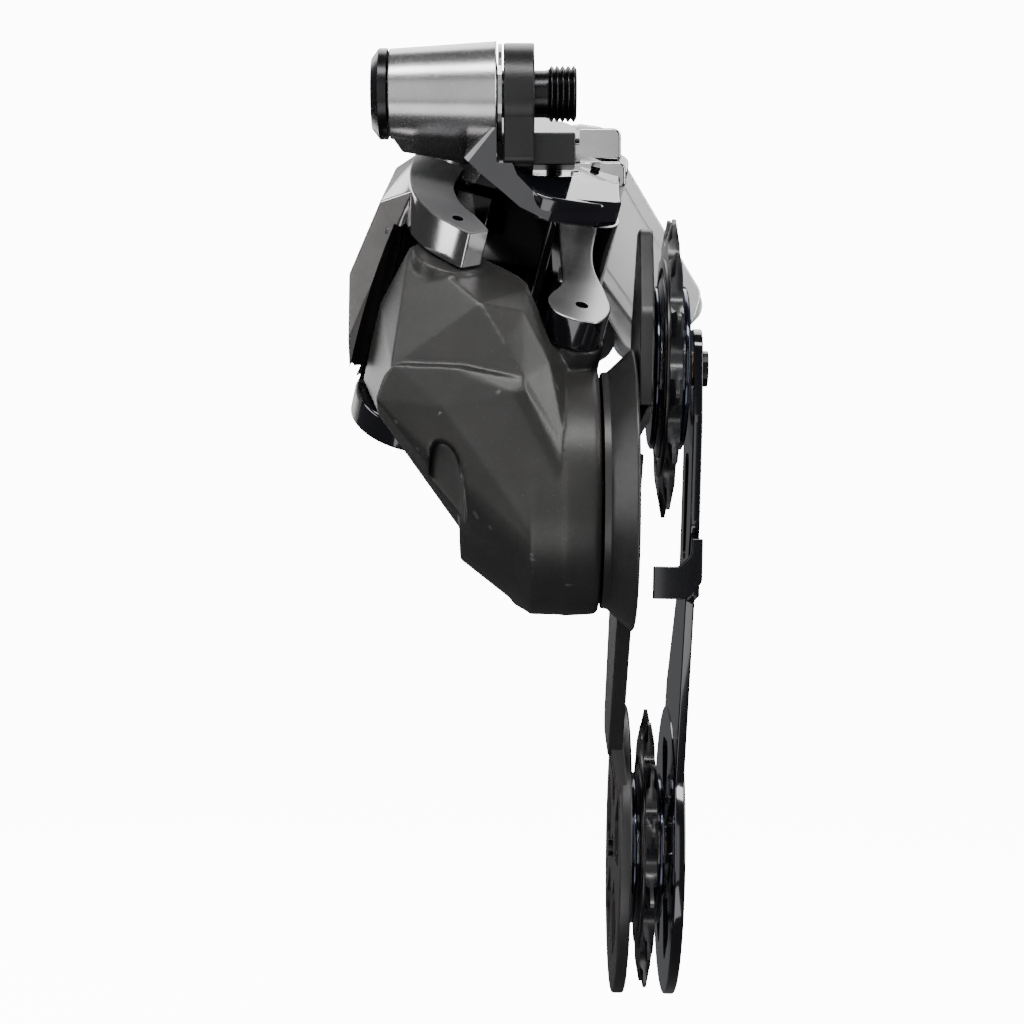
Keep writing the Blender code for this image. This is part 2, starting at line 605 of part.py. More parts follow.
def knuckle_lip():
    """The lower part, which stands proud of the facet above it."""
    upper = [(-26.5, -14.5, -51.6), (-24.9, -15.5, -49.8), (-14.0, -18.3, -50.4), (-11.0, -19.0, -53.0),
             (-2.2, -18.6, -52.6)]
    edge = [(-27.9, -14.5, -55.7), (-16.0, -18.9, -57.3), (-4.2, -19.6, -55.0), (-1.9, -19.2, -54.6)]
    low = [(-28.0, -9.0, -57.9), (-22.2, -7.0, -65.8), (-18.3, -6.0, -69.8), (-13.7, -5.0, -76.2)]
    return upper + edge + low + [(-24.0, 2.0, -55.0), (-14.0, 4.0, -76.0), (-4.0, 4.0, -92.0)]


def drum_ring():
    return [(x, P_AXIS_Y + 22.4 * c, P_AXIS_Z + 22.4 * s) for c, s in circle(1.0, sides=28) for x in (-0.9, 5.0)]


def inner_sweep():
    """The strip that the inner link sweeps about its lower pivot, seen from the lower knuckle."""
    turn = math.radians(FULL_SWING)
    ahead = Vector((-math.cos(turn), -math.sin(turn)))
    beside = Vector((math.sin(turn), -math.cos(turn)))
    near = [Vector((LUG_ROOM * math.cos(a), LUG_ROOM * math.sin(a))) for a in map(math.radians, (255, 225, 180))]
    far = [beside * LUG_ROOM + ahead * reach for reach in (70.0, 4.0)]
    return [(-LUG_ROOM, 7.0), (-70.0, 7.0), (-70.0, far[0].y)] + [tuple(p) for p in far + near]


def knuckle_small_parts():
    pin = disc("knuckle_pin_outer", PIN_R, -41.8, -1.8, link_frame(LINK_LENGTH), sides=20)
    finish(pin, "steel", "p_knuckle")
    pin = disc("knuckle_pin_inner", PIN_R, -23.2, -11.6, link_frame(*INNER_OFFSET_UV), sides=20)
    finish(pin, "steel", "p_knuckle")
    frame = knuckle_frame()
    finish(coil("cage_spring", 15.2, 1.0, 1.0, 7.0, 3, frame), "steel", "p_knuckle")
    bush = disc("cage_bush", 6.0, -9.6, -1.4, frame, 4.6, 24)
    finish(bush, "bronze", "p_knuckle")
    damper = turned("damper_body", [(12.6, 8.0), (12.6, -0.6), (6.6, -0.6), (6.6, 0.8), (11.2, 0.8), (11.2, 8.0)],
                    frame, 32)
    finish(damper, "steel", "p_knuckle")
    cover = disc("spring_cover", 17.2, 8.6, 9.8, frame, 6.6, 32)
    finish(cover, "satin_black", "p_knuckle")
    seal = disc("knuckle_seal", 17.1, 10.1, 11.2, frame, 14.6, 32)
    finish(seal, "rubber", "p_knuckle")


# ---- cage ----

def cage_outer_plate():
    flange = [(0, 17.8), (25.6, 17.8), (21.6, 13.0), (21.4, 11.8), (0, 11.8)]
    plate = turned("cage_outer_plate", flange, knuckle_frame(), 40)
    frame = cage_frame()
    ty, tb = TENSION_YB
    py, pb = P_AXIS_YB
    head = rounded([(-25, -8.5), (-25.5, 8, 5), (-16, 24.2, 3), (-9, 24.2, 3), (4, 8, 6), (8, -8.5)])
    join(plate, prism("plate_head", [head], -6.7, -4.2, frame))
    arm = rounded([(py - 21, pb + 6), (py + 19, pb + 6), (ty - 2, tb + 25, 4), (ty - 23, tb + 21, 4)])
    join(plate, prism("plate_arm", [arm], -9.0, -6.2, frame))
    step = [(y, b + rise, n - rise * 0.1) for b, n in ((-7.5, -4.6), (-14.5, -8.0)) for rise in (0.0, -2.6)
            for y in (-24.6, 7.2)]
    join(plate, hull("plate_step", step, frame))
    join(plate, disc("plate_disc", 29.5, -6.5, -4.1, cage_frame(ty, tb), sides=40))
    neck = [(ty - 24.5, tb + 24, -8.7), (ty + 1, tb + 27, -8.7), (ty - 25, tb + 10, -6.3), (ty + 20, tb + 14, -6.3),
            (ty - 24.5, tb + 24, -6.0), (ty + 1, tb + 27, -6.0), (ty - 25, tb + 10, -4.4), (ty + 20, tb + 14, -4.4)]
    join(plate, hull("plate_neck", neck, frame))
    for i in range(5):
        angle = math.radians(72 * i + 90)
        inner = [(9.5, -0.42), (9.5, 0.42), (24.0, 0.34), (24.0, -0.34)]
        window = [(r * math.cos(angle + a), r * math.sin(angle + a)) for r, a in inner]
        cut(plate, prism("disc_window_%d" % i, [window], -12, 0, cage_frame(ty, tb)))
    cut(plate, disc("guide_bolt_hole", 2.8, -9, 0, frame, sides=20))
    cut(plate, disc("tension_bolt_hole", 2.8, -9, 0, cage_frame(ty, tb), sides=20))
    cut(plate, disc("cage_axle_hole", 4.4, 8, 20, knuckle_frame(), sides=24))
    cut(plate, disc("axle_head_room", 6.6, 16.5, 20, knuckle_frame(), sides=24))
    finish(plate, "graphite", "cage")


def cage_inner_plate():
    frame = cage_frame()
    ty, tb = TENSION_YB
    shape = rounded([(-8, 7, 5), (7, 7.5, 5), (9.5, -10), (13.5, -38), (ty + 4, tb + 34), (ty + 10, tb + 20),
                     (ty - 24, tb + 16), (-2, -44), (-9.5, -30), (-11, -10)])
    plate = prism("cage_inner_plate", [shape], 4.2, 6.0, frame)
    join(plate, disc("inner_disc", 29.5, 4.0, 6.2, cage_frame(ty, tb), sides=40))
    slot = rounded([(-4, -16, 2), (4, -16, 2), (6, -36, 2), (0, -36, 2)])
    cut(plate, prism("inner_slot", [slot], 0, 9, frame))
    for i in range(5):
        angle = math.radians(72 * i + 90)
        inner = [(9.5, -0.42), (9.5, 0.42), (24.0, 0.34), (24.0, -0.34)]
        window = [(r * math.cos(angle + a), r * math.sin(angle + a)) for r, a in inner]
        cut(plate, prism("inner_window_%d" % i, [window], 0, 12, cage_frame(ty, tb)))
    root = [(-12.3, -32.4), (-4, -30.0), (-2, -44.0), (-12.3, -42.6)]
    join(plate, prism("tab_root", [root], 4.4, 5.9, frame))
    lip = rounded([(-2.6, -43.2), (3.6, -43.2, 2.5), (6.4, -40.0, 2), (6.4, -32.0), (4.3, -32.0),
                   (4.3, -35.0, 2), (2.0, -37.2, 1.5), (-2.6, -37.2)])
    join(plate, prism("chain_tab", [lip], 10.6, 12.4, tab_frame()))
    cut(plate, disc("inner_guide_hole", 2.2, 0, 9, frame, sides=16))
    cut(plate, disc("inner_tension_hole", 2.2, 0, 9, cage_frame(ty, tb), sides=16))
    finish(plate, "gloss_black", "cage")


def tab_frame():
    """Local x inboard, y up the cage and z forward, for the tab bent over the chain."""
    place = cage_frame().to_3x3()
    return frame_from(place.col[2], place.col[1], -place.col[0], GUIDE_CENTRE)


def cage_small_parts():
    frame = knuckle_frame()
    profile = [(0, 18.6), (6.2, 18.6), (6.2, 16.8), (4.1, 16.8), (4.1, -9.2), (0, -9.2)]
    finish(turned("cage_axle", profile, frame, 24), "steel", "cage")
    rotor = disc("damper_rotor", 10.8, 1.6, 7.4, frame, 4.5, 28)
    finish(rotor, "steel", "cage")
    for name, (y, b) in (("guide", (0, 0)), ("tension", TENSION_YB)):
        place = cage_frame(y, b)
        profile = [(0, 7.6), (3.4, 7.6), (3.4, 6.3), (1.9, 6.3), (1.9, -7.4), (0, -7.4)]
        finish(turned(name + "_bolt", profile, place, 20), "black_oxide", "cage")
        sleeve = disc(name + "_sleeve", 3.2, -3.6, 3.9, place, 2.2, 20)
        finish(sleeve, "bronze", "cage")


def pulley(name, y, b):
    place = cage_frame(y, b)
    body = name + "_pulley"
    outline = [p for i in range(TEETH) for p in pulley_tooth(i)]
    wheel = prism(name + "_wheel", [outline], -TOOTH_HALF, TOOTH_HALF, place)
    join(wheel, disc(name + "_hub", 17.0, -1.6, 1.6, place, 0, 28))
    cut(wheel, disc(name + "_hub_bore", 7.6, -3, 3, place, 0, 24))
    finish(wheel, "pulley", body)
    bearing = disc(name + "_bearing", 7.3, -1.9, 1.9, place, 3.5, 20)
    finish(bearing, "steel", body)
    for side, low in (("outer", -3.3), ("inner", 2.2)):
        shield = disc(name + "_shield_" + side, 15.4, low, low + 1.1, place, 3.8, 28)
        finish(shield, "ring_blue", body)


def pulley_tooth(index):
    pitch = 2 * math.pi / TEETH
    marks = ((-0.5, ROOT_R), (-0.3, ROOT_R + 0.9), (-0.14, TIP_R - 1.4), (-0.04, TIP_R), (0.04, TIP_R),
             (0.14, TIP_R - 1.4), (0.3, ROOT_R + 0.9))
    return [(r * math.cos((index + f) * pitch), r * math.sin((index + f) * pitch)) for f, r in marks]


def make_pivots():
    pivot("hanger_mount", Vector((0, 0, 0)))
    pivot("base_knuckle", Vector((0, 0, 0)))
    pivot("outer_link", link_point(0, 0, -20))
    pivot("inner_link", link_point(*INNER_BASE_UV, -20))
    pivot("p_knuckle", link_point(LINK_LENGTH, 0, -20))
    pivot("cage", Vector((KNUCKLE_FACE, P_AXIS_Y, P_AXIS_Z)))
    pivot("guide_pulley", cage_frame().translation / MM)
    pivot("tension_pulley", cage_frame(*TENSION_YB).translation / MM)
    pivot("b_tension_screw", Vector((3.6, 13.0, -10.1)))
    pivot("battery_latch", latch_axis().translation / MM)
    pivot("function_button", button_frame().translation / MM)
    pivot("motor_pinion", motor_axis().translation / MM)
    pivot("drive_gear", gear_axis().translation / MM)


def main():
    make_pivots()
    bracket_axle()
    stop_plate()
    small_b_parts()
    linkage_base()
    base_small_parts()
    motor_housing()
    battery_mount()
    drive_parts()
    battery()
    battery_latch()
    button_and_lens()
    outer_link()
    inner_link()
    knuckle_housing()
    knuckle_small_parts()
    cage_outer_plate()
    cage_inner_plate()
    cage_small_parts()
    pulley("guide", 0.0, 0.0)
    pulley("tension", *TENSION_YB)
    bpy.context.view_layer.update()


main()
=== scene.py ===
"""Looks of the rear derailleur: studio, camera, procedural finishes and the fine meshes."""
import json
import math

import bmesh
import bpy
from mathutils import Matrix, Vector


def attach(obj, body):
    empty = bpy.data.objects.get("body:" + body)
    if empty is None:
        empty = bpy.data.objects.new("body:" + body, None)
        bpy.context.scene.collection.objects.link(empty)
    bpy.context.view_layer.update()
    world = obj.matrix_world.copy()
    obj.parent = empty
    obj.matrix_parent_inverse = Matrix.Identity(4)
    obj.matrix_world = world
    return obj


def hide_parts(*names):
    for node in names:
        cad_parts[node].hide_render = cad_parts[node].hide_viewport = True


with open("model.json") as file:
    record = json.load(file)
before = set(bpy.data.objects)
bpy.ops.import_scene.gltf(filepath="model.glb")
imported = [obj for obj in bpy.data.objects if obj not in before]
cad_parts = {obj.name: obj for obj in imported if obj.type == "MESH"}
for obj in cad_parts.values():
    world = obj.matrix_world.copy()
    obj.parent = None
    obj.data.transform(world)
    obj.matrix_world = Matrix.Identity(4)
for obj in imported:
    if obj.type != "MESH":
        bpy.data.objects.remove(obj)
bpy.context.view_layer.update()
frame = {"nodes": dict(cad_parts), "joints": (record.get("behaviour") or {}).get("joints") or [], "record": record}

MM = 0.001
NODES = frame["nodes"]
JOINTS = {joint["name"]: joint for joint in frame["joints"]}

# Camera: level, in front of the bicycle looking rearward
CAMERA_AT = (-0.0042, -0.370, -0.0753)
LENS_MM, SENSOR_MM = 72.19, 36.0

# White room round the object: sizes in metres, then the strengths of its faces and of the world
FLOOR_Z = -0.215
STAGE_HALF = 1.6
STAGE_TOP = 1.6
STAGE_GLOW = 12.0
WORLD_GLOW = 0.10


# ---- frames taken from the joints ----

RIGHT, REAR, UP = Vector((1, 0, 0)), Vector((0, 1, 0)), Vector((0, 0, 1))
ORIGIN = Vector((0, 0, 0))

PIN = Vector(JOINTS["link_swing"]["axis"]).normalized()
OUTER_BASE = Vector(JOINTS["link_swing"]["pos_m"])
OUTER_LOW = Vector(JOINTS["p_knuckle_turn"]["pos_m"])
ALONG = (OUTER_LOW - OUTER_BASE).normalized()
ACROSS = PIN.cross(ALONG)
P_AXIS = Vector(JOINTS["cage_swing"]["pos_m"])
GUIDE = Vector(JOINTS["guide_spin"]["pos_m"])
TENSION = Vector(JOINTS["tension_spin"]["pos_m"])
INBOARD = Vector(JOINTS["guide_spin"]["axis"]).normalized()
CAGE_UP = INBOARD.cross(REAR)

# Outer link in mm: pivot to pivot, and from the link's top face down to the joint's point
LINK_LENGTH = 41.64
PIVOT_DEPTH = 20.0


def frame_from(x_dir, y_dir, z_dir, origin):
    matrix = Matrix((x_dir, y_dir, z_dir)).transposed().to_4x4()
    matrix.translation = origin
    return matrix


LINK = frame_from(ALONG, ACROSS, PIN, OUTER_BASE + PIN * PIVOT_DEPTH * MM)
AXLE = frame_from(REAR, UP, RIGHT, ORIGIN)
DRUM = frame_from(REAR, UP, RIGHT, Vector((0, P_AXIS.y, P_AXIS.z)))
FRONTAL = frame_from(RIGHT, UP, -REAR, ORIGIN)
CAGE = frame_from(REAR, CAGE_UP, INBOARD, GUIDE)
LOW_DISC = frame_from(REAR, CAGE_UP, INBOARD, TENSION)
TAB = frame_from(INBOARD, CAGE_UP, -REAR, GUIDE)


# ---- material helpers ----

# Noise scales per metre of object space, and the noise band that carries most of the values
DRIFT_SCALE, BLAST_SCALE, MOULD_DRIFT_SCALE, MOULD_SCALE = 90.0, 2600.0, 160.0, 1500.0
BAND_LOW, BAND_HIGH = 0.3, 0.7
GRAIN_HEIGHT, MOULD_HEIGHT = 0.00003, 0.00004
# Pointiness band over which the painted edge highlight comes in
EDGE_FLAT, EDGE_SHARP = 0.53, 0.62
COAT_ROUGH = 0.05


def new_material(name):
    made = bpy.data.materials.new(name)
    made.use_nodes = True
    tree = made.node_tree
    return made, tree, tree.nodes["Principled BSDF"]


def noise(tree, scale, detail=4.0, rough=0.55, stretch=None):
    coord = tree.nodes.new("ShaderNodeTexCoord")
    node = tree.nodes.new("ShaderNodeTexNoise")
    node.inputs["Scale"].default_value = scale
    node.inputs["Detail"].default_value = detail
    node.inputs["Roughness"].default_value = rough
    source = coord.outputs["Object"]
    if stretch:
        mapping = tree.nodes.new("ShaderNodeMapping")
        mapping.inputs["Scale"].default_value = stretch
        tree.links.new(source, mapping.inputs["Vector"])
        source = mapping.outputs["Vector"]
    tree.links.new(source, node.inputs["Vector"])
    return node.outputs["Fac"]


def ramp(tree, value, stops):
    node = tree.nodes.new("ShaderNodeValToRGB")
    elements = node.color_ramp.elements
    while len(elements) < len(stops):
        elements.new(0.5)
    for element, (place, colour) in zip(elements, stops):
        element.position = place
        element.color = (*colour, 1.0)
    tree.links.new(value, node.inputs["Fac"])
    return node.outputs["Color"]


def scaled(tree, value, low, high, start, stop):
    """The value taken from start..stop to low..high."""
    node = tree.nodes.new("ShaderNodeMapRange")
    node.inputs["From Min"].default_value = start
    node.inputs["From Max"].default_value = stop
    node.inputs["To Min"].default_value = low
    node.inputs["To Max"].default_value = high
    tree.links.new(value, node.inputs["Value"])
    return node.outputs["Result"]


def bump(tree, shader, height, strength, distance):
    node = tree.nodes.new("ShaderNodeBump")
    node.inputs["Strength"].default_value = strength
    node.inputs["Distance"].default_value = distance
    tree.links.new(height, node.inputs["Height"])
    tree.links.new(node.outputs["Normal"], shader.inputs["Normal"])


def mix_colour(tree, factor, first, second):
    node = tree.nodes.new("ShaderNodeMix")
    node.data_type = "RGBA"
    for value, socket in ((first, node.inputs[6]), (second, node.inputs[7])):
        if isinstance(value, tuple):
            socket.default_value = (*value, 1.0)
        else:
            tree.links.new(value, socket)
    tree.links.new(factor, node.inputs[0])
    return node.outputs[2]


def painted_edge_highlight(tree):
    """0 on faces and hollows, 1 on sharp outer edges of a dense mesh: the mask where a highlight is painted along
    the edges.
    """
    geometry = tree.nodes.new("ShaderNodeNewGeometry")
    return scaled(tree, geometry.outputs["Pointiness"], 0.0, 1.0, EDGE_FLAT, EDGE_SHARP)


def anodised(name, dark, light, rough, metallic, painted_glints=0.0, edge=None, coat=0.0, bump_strength=0.25):
    """Bead-blasted and anodised alloy: fine grain, slow tone drift, optional bright specks painted as glints and
    an optional edge colour painted as highlights along sharp edges.
    """
    made, tree, shader = new_material(name)
    drift = noise(tree, DRIFT_SCALE, 3.0)
    tone = ramp(tree, drift, ((0.3, dark), (0.72, light)))
    fine = noise(tree, BLAST_SCALE, 6.0, 0.7)
    # Bright specks added to the colour are painted glints, standing in for the sparkle of the blasted metal
    if painted_glints:
        stops = ((0.72, (0, 0, 0)), (0.8, (painted_glints, painted_glints, painted_glints)))
        spots = ramp(tree, noise(tree, BLAST_SCALE * 1.6, 1.0), stops)
        blend = tree.nodes.new("ShaderNodeMix")
        blend.data_type = "RGBA"
        blend.blend_type = "ADD"
        blend.inputs[0].default_value = 1.0
        tree.links.new(tone, blend.inputs[6])
        tree.links.new(spots, blend.inputs[7])
        tone = blend.outputs[2]
    # The edge colour is a painted highlight along the sharp outer edges
    if edge:
        tone = mix_colour(tree, painted_edge_highlight(tree), tone, edge)
    tree.links.new(tone, shader.inputs["Base Color"])
    uneven = scaled(tree, fine, rough * 0.86, rough * 1.14, BAND_LOW, BAND_HIGH)
    tree.links.new(uneven, shader.inputs["Roughness"])
    shader.inputs["Metallic"].default_value = metallic
    shader.inputs["Coat Weight"].default_value = coat
    shader.inputs["Coat Roughness"].default_value = COAT_ROUGH
    bump(tree, shader, fine, bump_strength, GRAIN_HEIGHT)
    return made


def brushed(name, colour, rough, stretch):
    """Turned or ground steel with fine parallel tool marks."""
    made, tree, shader = new_material(name)
    lines = noise(tree, 1.0, 3.0, 0.6, stretch)
    dark = tuple(c * 0.8 for c in colour)
    tree.links.new(ramp(tree, lines, ((0.35, dark), (0.65, colour))), shader.inputs["Base Color"])
    uneven = scaled(tree, lines, rough * 0.8, rough * 1.25, BAND_LOW, BAND_HIGH)
    tree.links.new(uneven, shader.inputs["Roughness"])
    shader.inputs["Metallic"].default_value = 1.0
    bump(tree, shader, lines, 0.15, GRAIN_HEIGHT)
    return made


def moulded(name, dark, light, rough, strength=0.2, coat=0.0):
    """Moulded polymer or rubber with a faint texture."""
    made, tree, shader = new_material(name)
    tone = ramp(tree, noise(tree, MOULD_DRIFT_SCALE), ((BAND_LOW, dark), (BAND_HIGH, light)))
    tree.links.new(tone, shader.inputs["Base Color"])
    fine = noise(tree, MOULD_SCALE, 5.0, 0.65)
    uneven = scaled(tree, fine, rough * 0.85, rough * 1.15, BAND_LOW, BAND_HIGH)
    tree.links.new(uneven, shader.inputs["Roughness"])
    shader.inputs["Coat Weight"].default_value = coat
    bump(tree, shader, fine, strength, MOULD_HEIGHT)
    return made


# The speck amounts below paint bright glints into the colours
LOOKS = {
    # graphite: its lighter edge colour paints highlights along the sharp edges
    "graphite": anodised("graphite_anodised", (0.0225, 0.0218, 0.0212), (0.031, 0.030, 0.029), 0.40, 0.35,
                         painted_glints=0.07, edge=(0.08, 0.078, 0.076)),
    "link_grey": anodised("link_grey", (0.060, 0.057, 0.056), (0.085, 0.081, 0.080), 0.34, 0.8, painted_glints=0.08),
    "hook_satin": anodised("hook_satin", (0.13, 0.13, 0.135), (0.18, 0.18, 0.185), 0.45, 0.6, painted_glints=0.25),
    "silver_polished": anodised("silver_polished", (0.34, 0.335, 0.34), (0.42, 0.41, 0.41), 0.14, 1.0,
                                bump_strength=0.06),
    "graphite_plate": anodised("graphite_plate", (0.022, 0.022, 0.022), (0.032, 0.031, 0.031), 0.36, 0.4),
    "silver": anodised("silver_satin", (0.30, 0.295, 0.30), (0.40, 0.39, 0.39), 0.25, 0.95, painted_glints=0.12),
    "gloss_black": anodised("gloss_black", (0.006, 0.006, 0.009), (0.010, 0.010, 0.014), 0.12, 0.6,
                            coat=1.0, bump_strength=0.05),
    "satin_black": anodised("satin_black", (0.012, 0.012, 0.012), (0.018, 0.018, 0.018), 0.33, 0.5),
    "black_oxide": anodised("black_oxide", (0.016, 0.016, 0.017), (0.028, 0.028, 0.030), 0.25, 0.9),
    "light_grey": anodised("battery_pale", (0.60, 0.60, 0.61), (0.68, 0.68, 0.69), 0.22, 0.3, coat=0.5),
    "light_grey_metal": anodised("link_satin", (0.28, 0.28, 0.28), (0.36, 0.36, 0.36), 0.33, 0.9, painted_glints=0.06),
    "steel": brushed("turned_steel", (0.34, 0.34, 0.35), 0.27, (5000, 5000, 9000)),
    "bronze": brushed("sintered_bronze", (0.22, 0.15, 0.08), 0.4, (2500, 2500, 2500)),
    "polymer": moulded("button_polymer", (0.015, 0.015, 0.016), (0.022, 0.022, 0.023), 0.5),
    "rubber": moulded("seal_rubber", (0.010, 0.010, 0.010), (0.016, 0.016, 0.016), 0.7),
    "green_board": moulded("circuit_board", (0.01, 0.09, 0.03), (0.02, 0.13, 0.05), 0.4, coat=0.5),
    "lens": moulded("led_lens", (0.7, 0.8, 0.75), (0.8, 0.9, 0.85), 0.12, coat=1.0, strength=0.02),
    "pulley": moulded("pulley_black", (0.006, 0.006, 0.008), (0.011, 0.011, 0.014), 0.34, coat=0.15),
    "ring_blue": anodised("ring_blue", (0.010, 0.013, 0.030), (0.016, 0.02, 0.045), 0.14, 0.8, coat=0.6,
                          bump_strength=0.05),
}


# ---- mesh helpers ----

# Width in mm of the broken edges on the CAD nodes that stay
KEPT_EDGE = 0.15


def body_of_node(node):
    for body, names in frame["record"]["behaviour"]["bodies"].items():
        if node in names:
            return body
    return "root"


def slot_of_node(node):
    for entry in frame["record"]["subparts"]:
        if entry["node"] == node:
            return entry["material_slot"]
    return None


def place(name, mesh, matrix=Matrix()):
    obj = bpy.data.objects.new(name, mesh)
    bpy.context.scene.collection.objects.link(obj)
    obj.matrix_world = matrix
    return obj


def evaluated_mesh(obj):
    bpy.context.view_layer.update()
    graph = bpy.context.evaluated_depsgraph_get()
    return bpy.data.meshes.new_from_object(obj.evaluated_get(graph))


def bake_modifiers(obj):
    """Replaces the object's mesh by its evaluated one and drops the modifiers."""
    mesh = evaluated_mesh(obj)
    obj.modifiers.clear()
    obj.data = mesh


def shade(obj, angle=35.0):
    obj.data.shade_smooth()
    obj.data.set_sharp_from_angle(angle=math.radians(angle))


def soften(obj, voxel, passes, ratio):
    """Rounds every edge of a closed mesh: fine remesh, smoothing, then fewer faces."""
    remesh = obj.modifiers.new("Fine", "REMESH")
    remesh.mode = "VOXEL"
    remesh.voxel_size = voxel * MM
    smooth = obj.modifiers.new("Round", "SMOOTH")
    smooth.factor = 0.5
    smooth.iterations = passes
    fewer = obj.modifiers.new("Fewer", "DECIMATE")
    fewer.ratio = ratio
    bake_modifiers(obj)
    even = obj.modifiers.new("Even", "SMOOTH")
    even.iterations = 3
    bake_modifiers(obj)
    obj.data.shade_smooth()


def keep_with_bevel(node):
    """A CAD node that stays: its mesh data is untouched, and a modifier breaks its edges."""
    obj = NODES[node]
    obj.data.materials.clear()
    obj.data.materials.append(LOOKS[slot_of_node(node)])
    bevel = obj.modifiers.new("Broken edges", "BEVEL")
    bevel.width = KEPT_EDGE * MM
    bevel.segments = 2
    bevel.angle_limit = math.radians(30.0)
    bevel.harden_normals = True


# ---- fine solids ----

def broken(obj, width, segments=3, angle=25.0):
    """Rounds every edge sharper than the angle."""
    if width:
        bevel = obj.modifiers.new("Round", "BEVEL")
        bevel.width = width * MM
        bevel.segments = segments
        bevel.angle_limit = math.radians(angle)
        bevel.use_clamp_overlap = True
        bake_modifiers(obj)
    return obj


def smooth_outline(points, sharp=(), steps=6):
    """Closed curve through the points, with a corner kept at each index in sharp."""
    count = len(points)
    result = []
    for i in range(count):
        a, b = Vector(points[i][:2]), Vector(points[(i + 1) % count][:2])
        before = a if i in sharp else Vector(points[i - 1][:2])
        after = b if (i + 1) % count in sharp else Vector(points[(i + 2) % count][:2])
        for step in range(steps):
            t = step / steps
            result.append(0.5 * (2 * a + (b - before) * t + (2 * before - 5 * a + 4 * b - after) * t * t
                                 + (3 * a - before - 3 * b + after) * t ** 3))
    return result


def rounded(corners, steps=8):
    """Outline points from corners (x, y) or (x, y, radius); a radius becomes an arc."""
    points = []
    count = len(corners)
    for i, corner in enumerate(corners):
        here = Vector(corner[:2])
        if len(corner) == 2:
            points.append(here)
            continue
        back = (Vector(corners[i - 1][:2]) - here).normalized()
        ahead = (Vector(corners[(i + 1) % count][:2]) - here).normalized()
        half = back.angle(ahead) / 2
        reach = corner[2] / math.tan(half)
        centre = here + (back + ahead).normalized() * (corner[2] / math.sin(half))
        first = here + back * reach - centre
        sweep = first.angle_signed(here + ahead * reach - centre)
        for step in range(steps + 1):
            points.append(centre + Matrix.Rotation(-sweep * step / steps, 2) @ first)
    return points


def circle(radius, x=0.0, y=0.0, sides=48):
    turn = 2 * math.pi / sides
    return [(x + radius * math.cos(i * turn), y + radius * math.sin(i * turn)) for i in range(sides)]


def mesh_object(name, form, matrix):
    bmesh.ops.recalc_face_normals(form, faces=form.faces)
    mesh = bpy.data.meshes.new(name)
    form.to_mesh(mesh)
    form.free()
    return place(name, mesh, matrix)


def slab(name, outline, low, high, matrix, bevel=0.3, segments=3):
    """A flat outline between two heights of the frame, edges rounded."""
    form = bmesh.new()
    bottom = [form.verts.new((x * MM, y * MM, low * MM)) for x, y in outline]
    top = [form.verts.new((x * MM, y * MM, high * MM)) for x, y in outline]
    form.faces.new(bottom[::-1])
    form.faces.new(top)
    for i in range(len(outline)):
        j = (i + 1) % len(outline)
        form.faces.new((bottom[i], bottom[j], top[j], top[i]))
    return broken(mesh_object(name, form, matrix), bevel, segments)


def hulled(name, points, matrix=Matrix(), bevel=0.5, segments=3):
    """The convex solid round the points, edges rounded."""
    form = bmesh.new()
    for point in points:
        form.verts.new(Vector(point) * MM)
    made = bmesh.ops.convex_hull(form, input=form.verts)
    inside = made["geom_interior"] + made["geom_unused"]
    loose = {v for v in inside if isinstance(v, bmesh.types.BMVert)}
    bmesh.ops.delete(form, geom=list(loose), context="VERTS")
    bmesh.ops.dissolve_limit(form, angle_limit=math.radians(4), verts=form.verts, edges=form.edges)
    return broken(mesh_object(name, form, matrix), bevel, segments, 9.0)


def lathed(name, profile, matrix, sides=96, bevel=0.15, segments=2):
    """Solid of revolution about the frame's Z, from a profile that ends on the axis or closes on itself."""
    form = bmesh.new()
    rings = []
    for radius, height in profile:
        if radius <= 0:
            rings.append([form.verts.new((0, 0, height * MM))])
        else:
            ring = circle(radius, sides=sides)
            rings.append([form.verts.new((x * MM, y * MM, height * MM)) for x, y in ring])
    pairs = list(zip(rings, rings[1:]))
    if profile[0][0] > 0:
        pairs.append((rings[-1], rings[0]))
    for first, second in pairs:
        for i in range(sides):
            j = (i + 1) % sides
            corners = [first[i % len(first)], first[j % len(first)],
                       second[j % len(second)], second[i % len(second)]]
            form.faces.new(list(dict.fromkeys(corners)))
    return broken(mesh_object(name, form, matrix), bevel, segments, 18.0)


def plug(name, radius, low, high, matrix, sides=64):
    return lathed(name, [(0, high), (radius, high), (radius, low), (0, low)], matrix, sides, 0)


def boolean(obj, others, operation):
    for other in others:
        step = obj.modifiers.new(other.name, "BOOLEAN")
        step.object = other
        step.operation = operation
        step.solver = "EXACT"
    bake_modifiers(obj)
    for other in others:
        bpy.data.objects.remove(other, do_unlink=True)
    return obj


def fuse(obj, *others):
    return boolean(obj, others, "UNION")


def carve(obj, *others):
    return boolean(obj, others, "DIFFERENCE")


def gather(name, *objects):
    """One object from several closed meshes, in the world frame."""
    form = bmesh.new()
    for obj in objects:
        part = obj.data.copy()
        part.transform(obj.matrix_world)
        form.from_mesh(part)
        bpy.data.objects.remove(obj, do_unlink=True)
    mesh = bpy.data.meshes.new(name)
    form.to_mesh(mesh)
    form.free()
    return place(name, mesh)


def dress(obj, look, angle=32.0):
    """Finished material and even shading on flats."""
    obj.data.materials.clear()
    obj.data.materials.append(LOOKS[look])
    shade(obj, angle)
    flat = obj.modifiers.new("Even flats", "WEIGHTED_NORMAL")
    flat.keep_sharp = True
    return obj


def claim(obj, node):
    """The object rides and stands for the CAD node."""
    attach(obj, body_of_node(node))
    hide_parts(node)
    return obj


def sided(obj, look, test):
    """Faces that pass the test, given centre in mm and normal in the world frame, get another look."""
    obj.data.materials.append(LOOKS[look])
    index = len(obj.data.materials) - 1
    for face in obj.data.polygons:
        if test(obj.matrix_world @ face.center / MM, obj.matrix_world.to_3x3() @ face.normal):
            face.material_index = index
    return obj


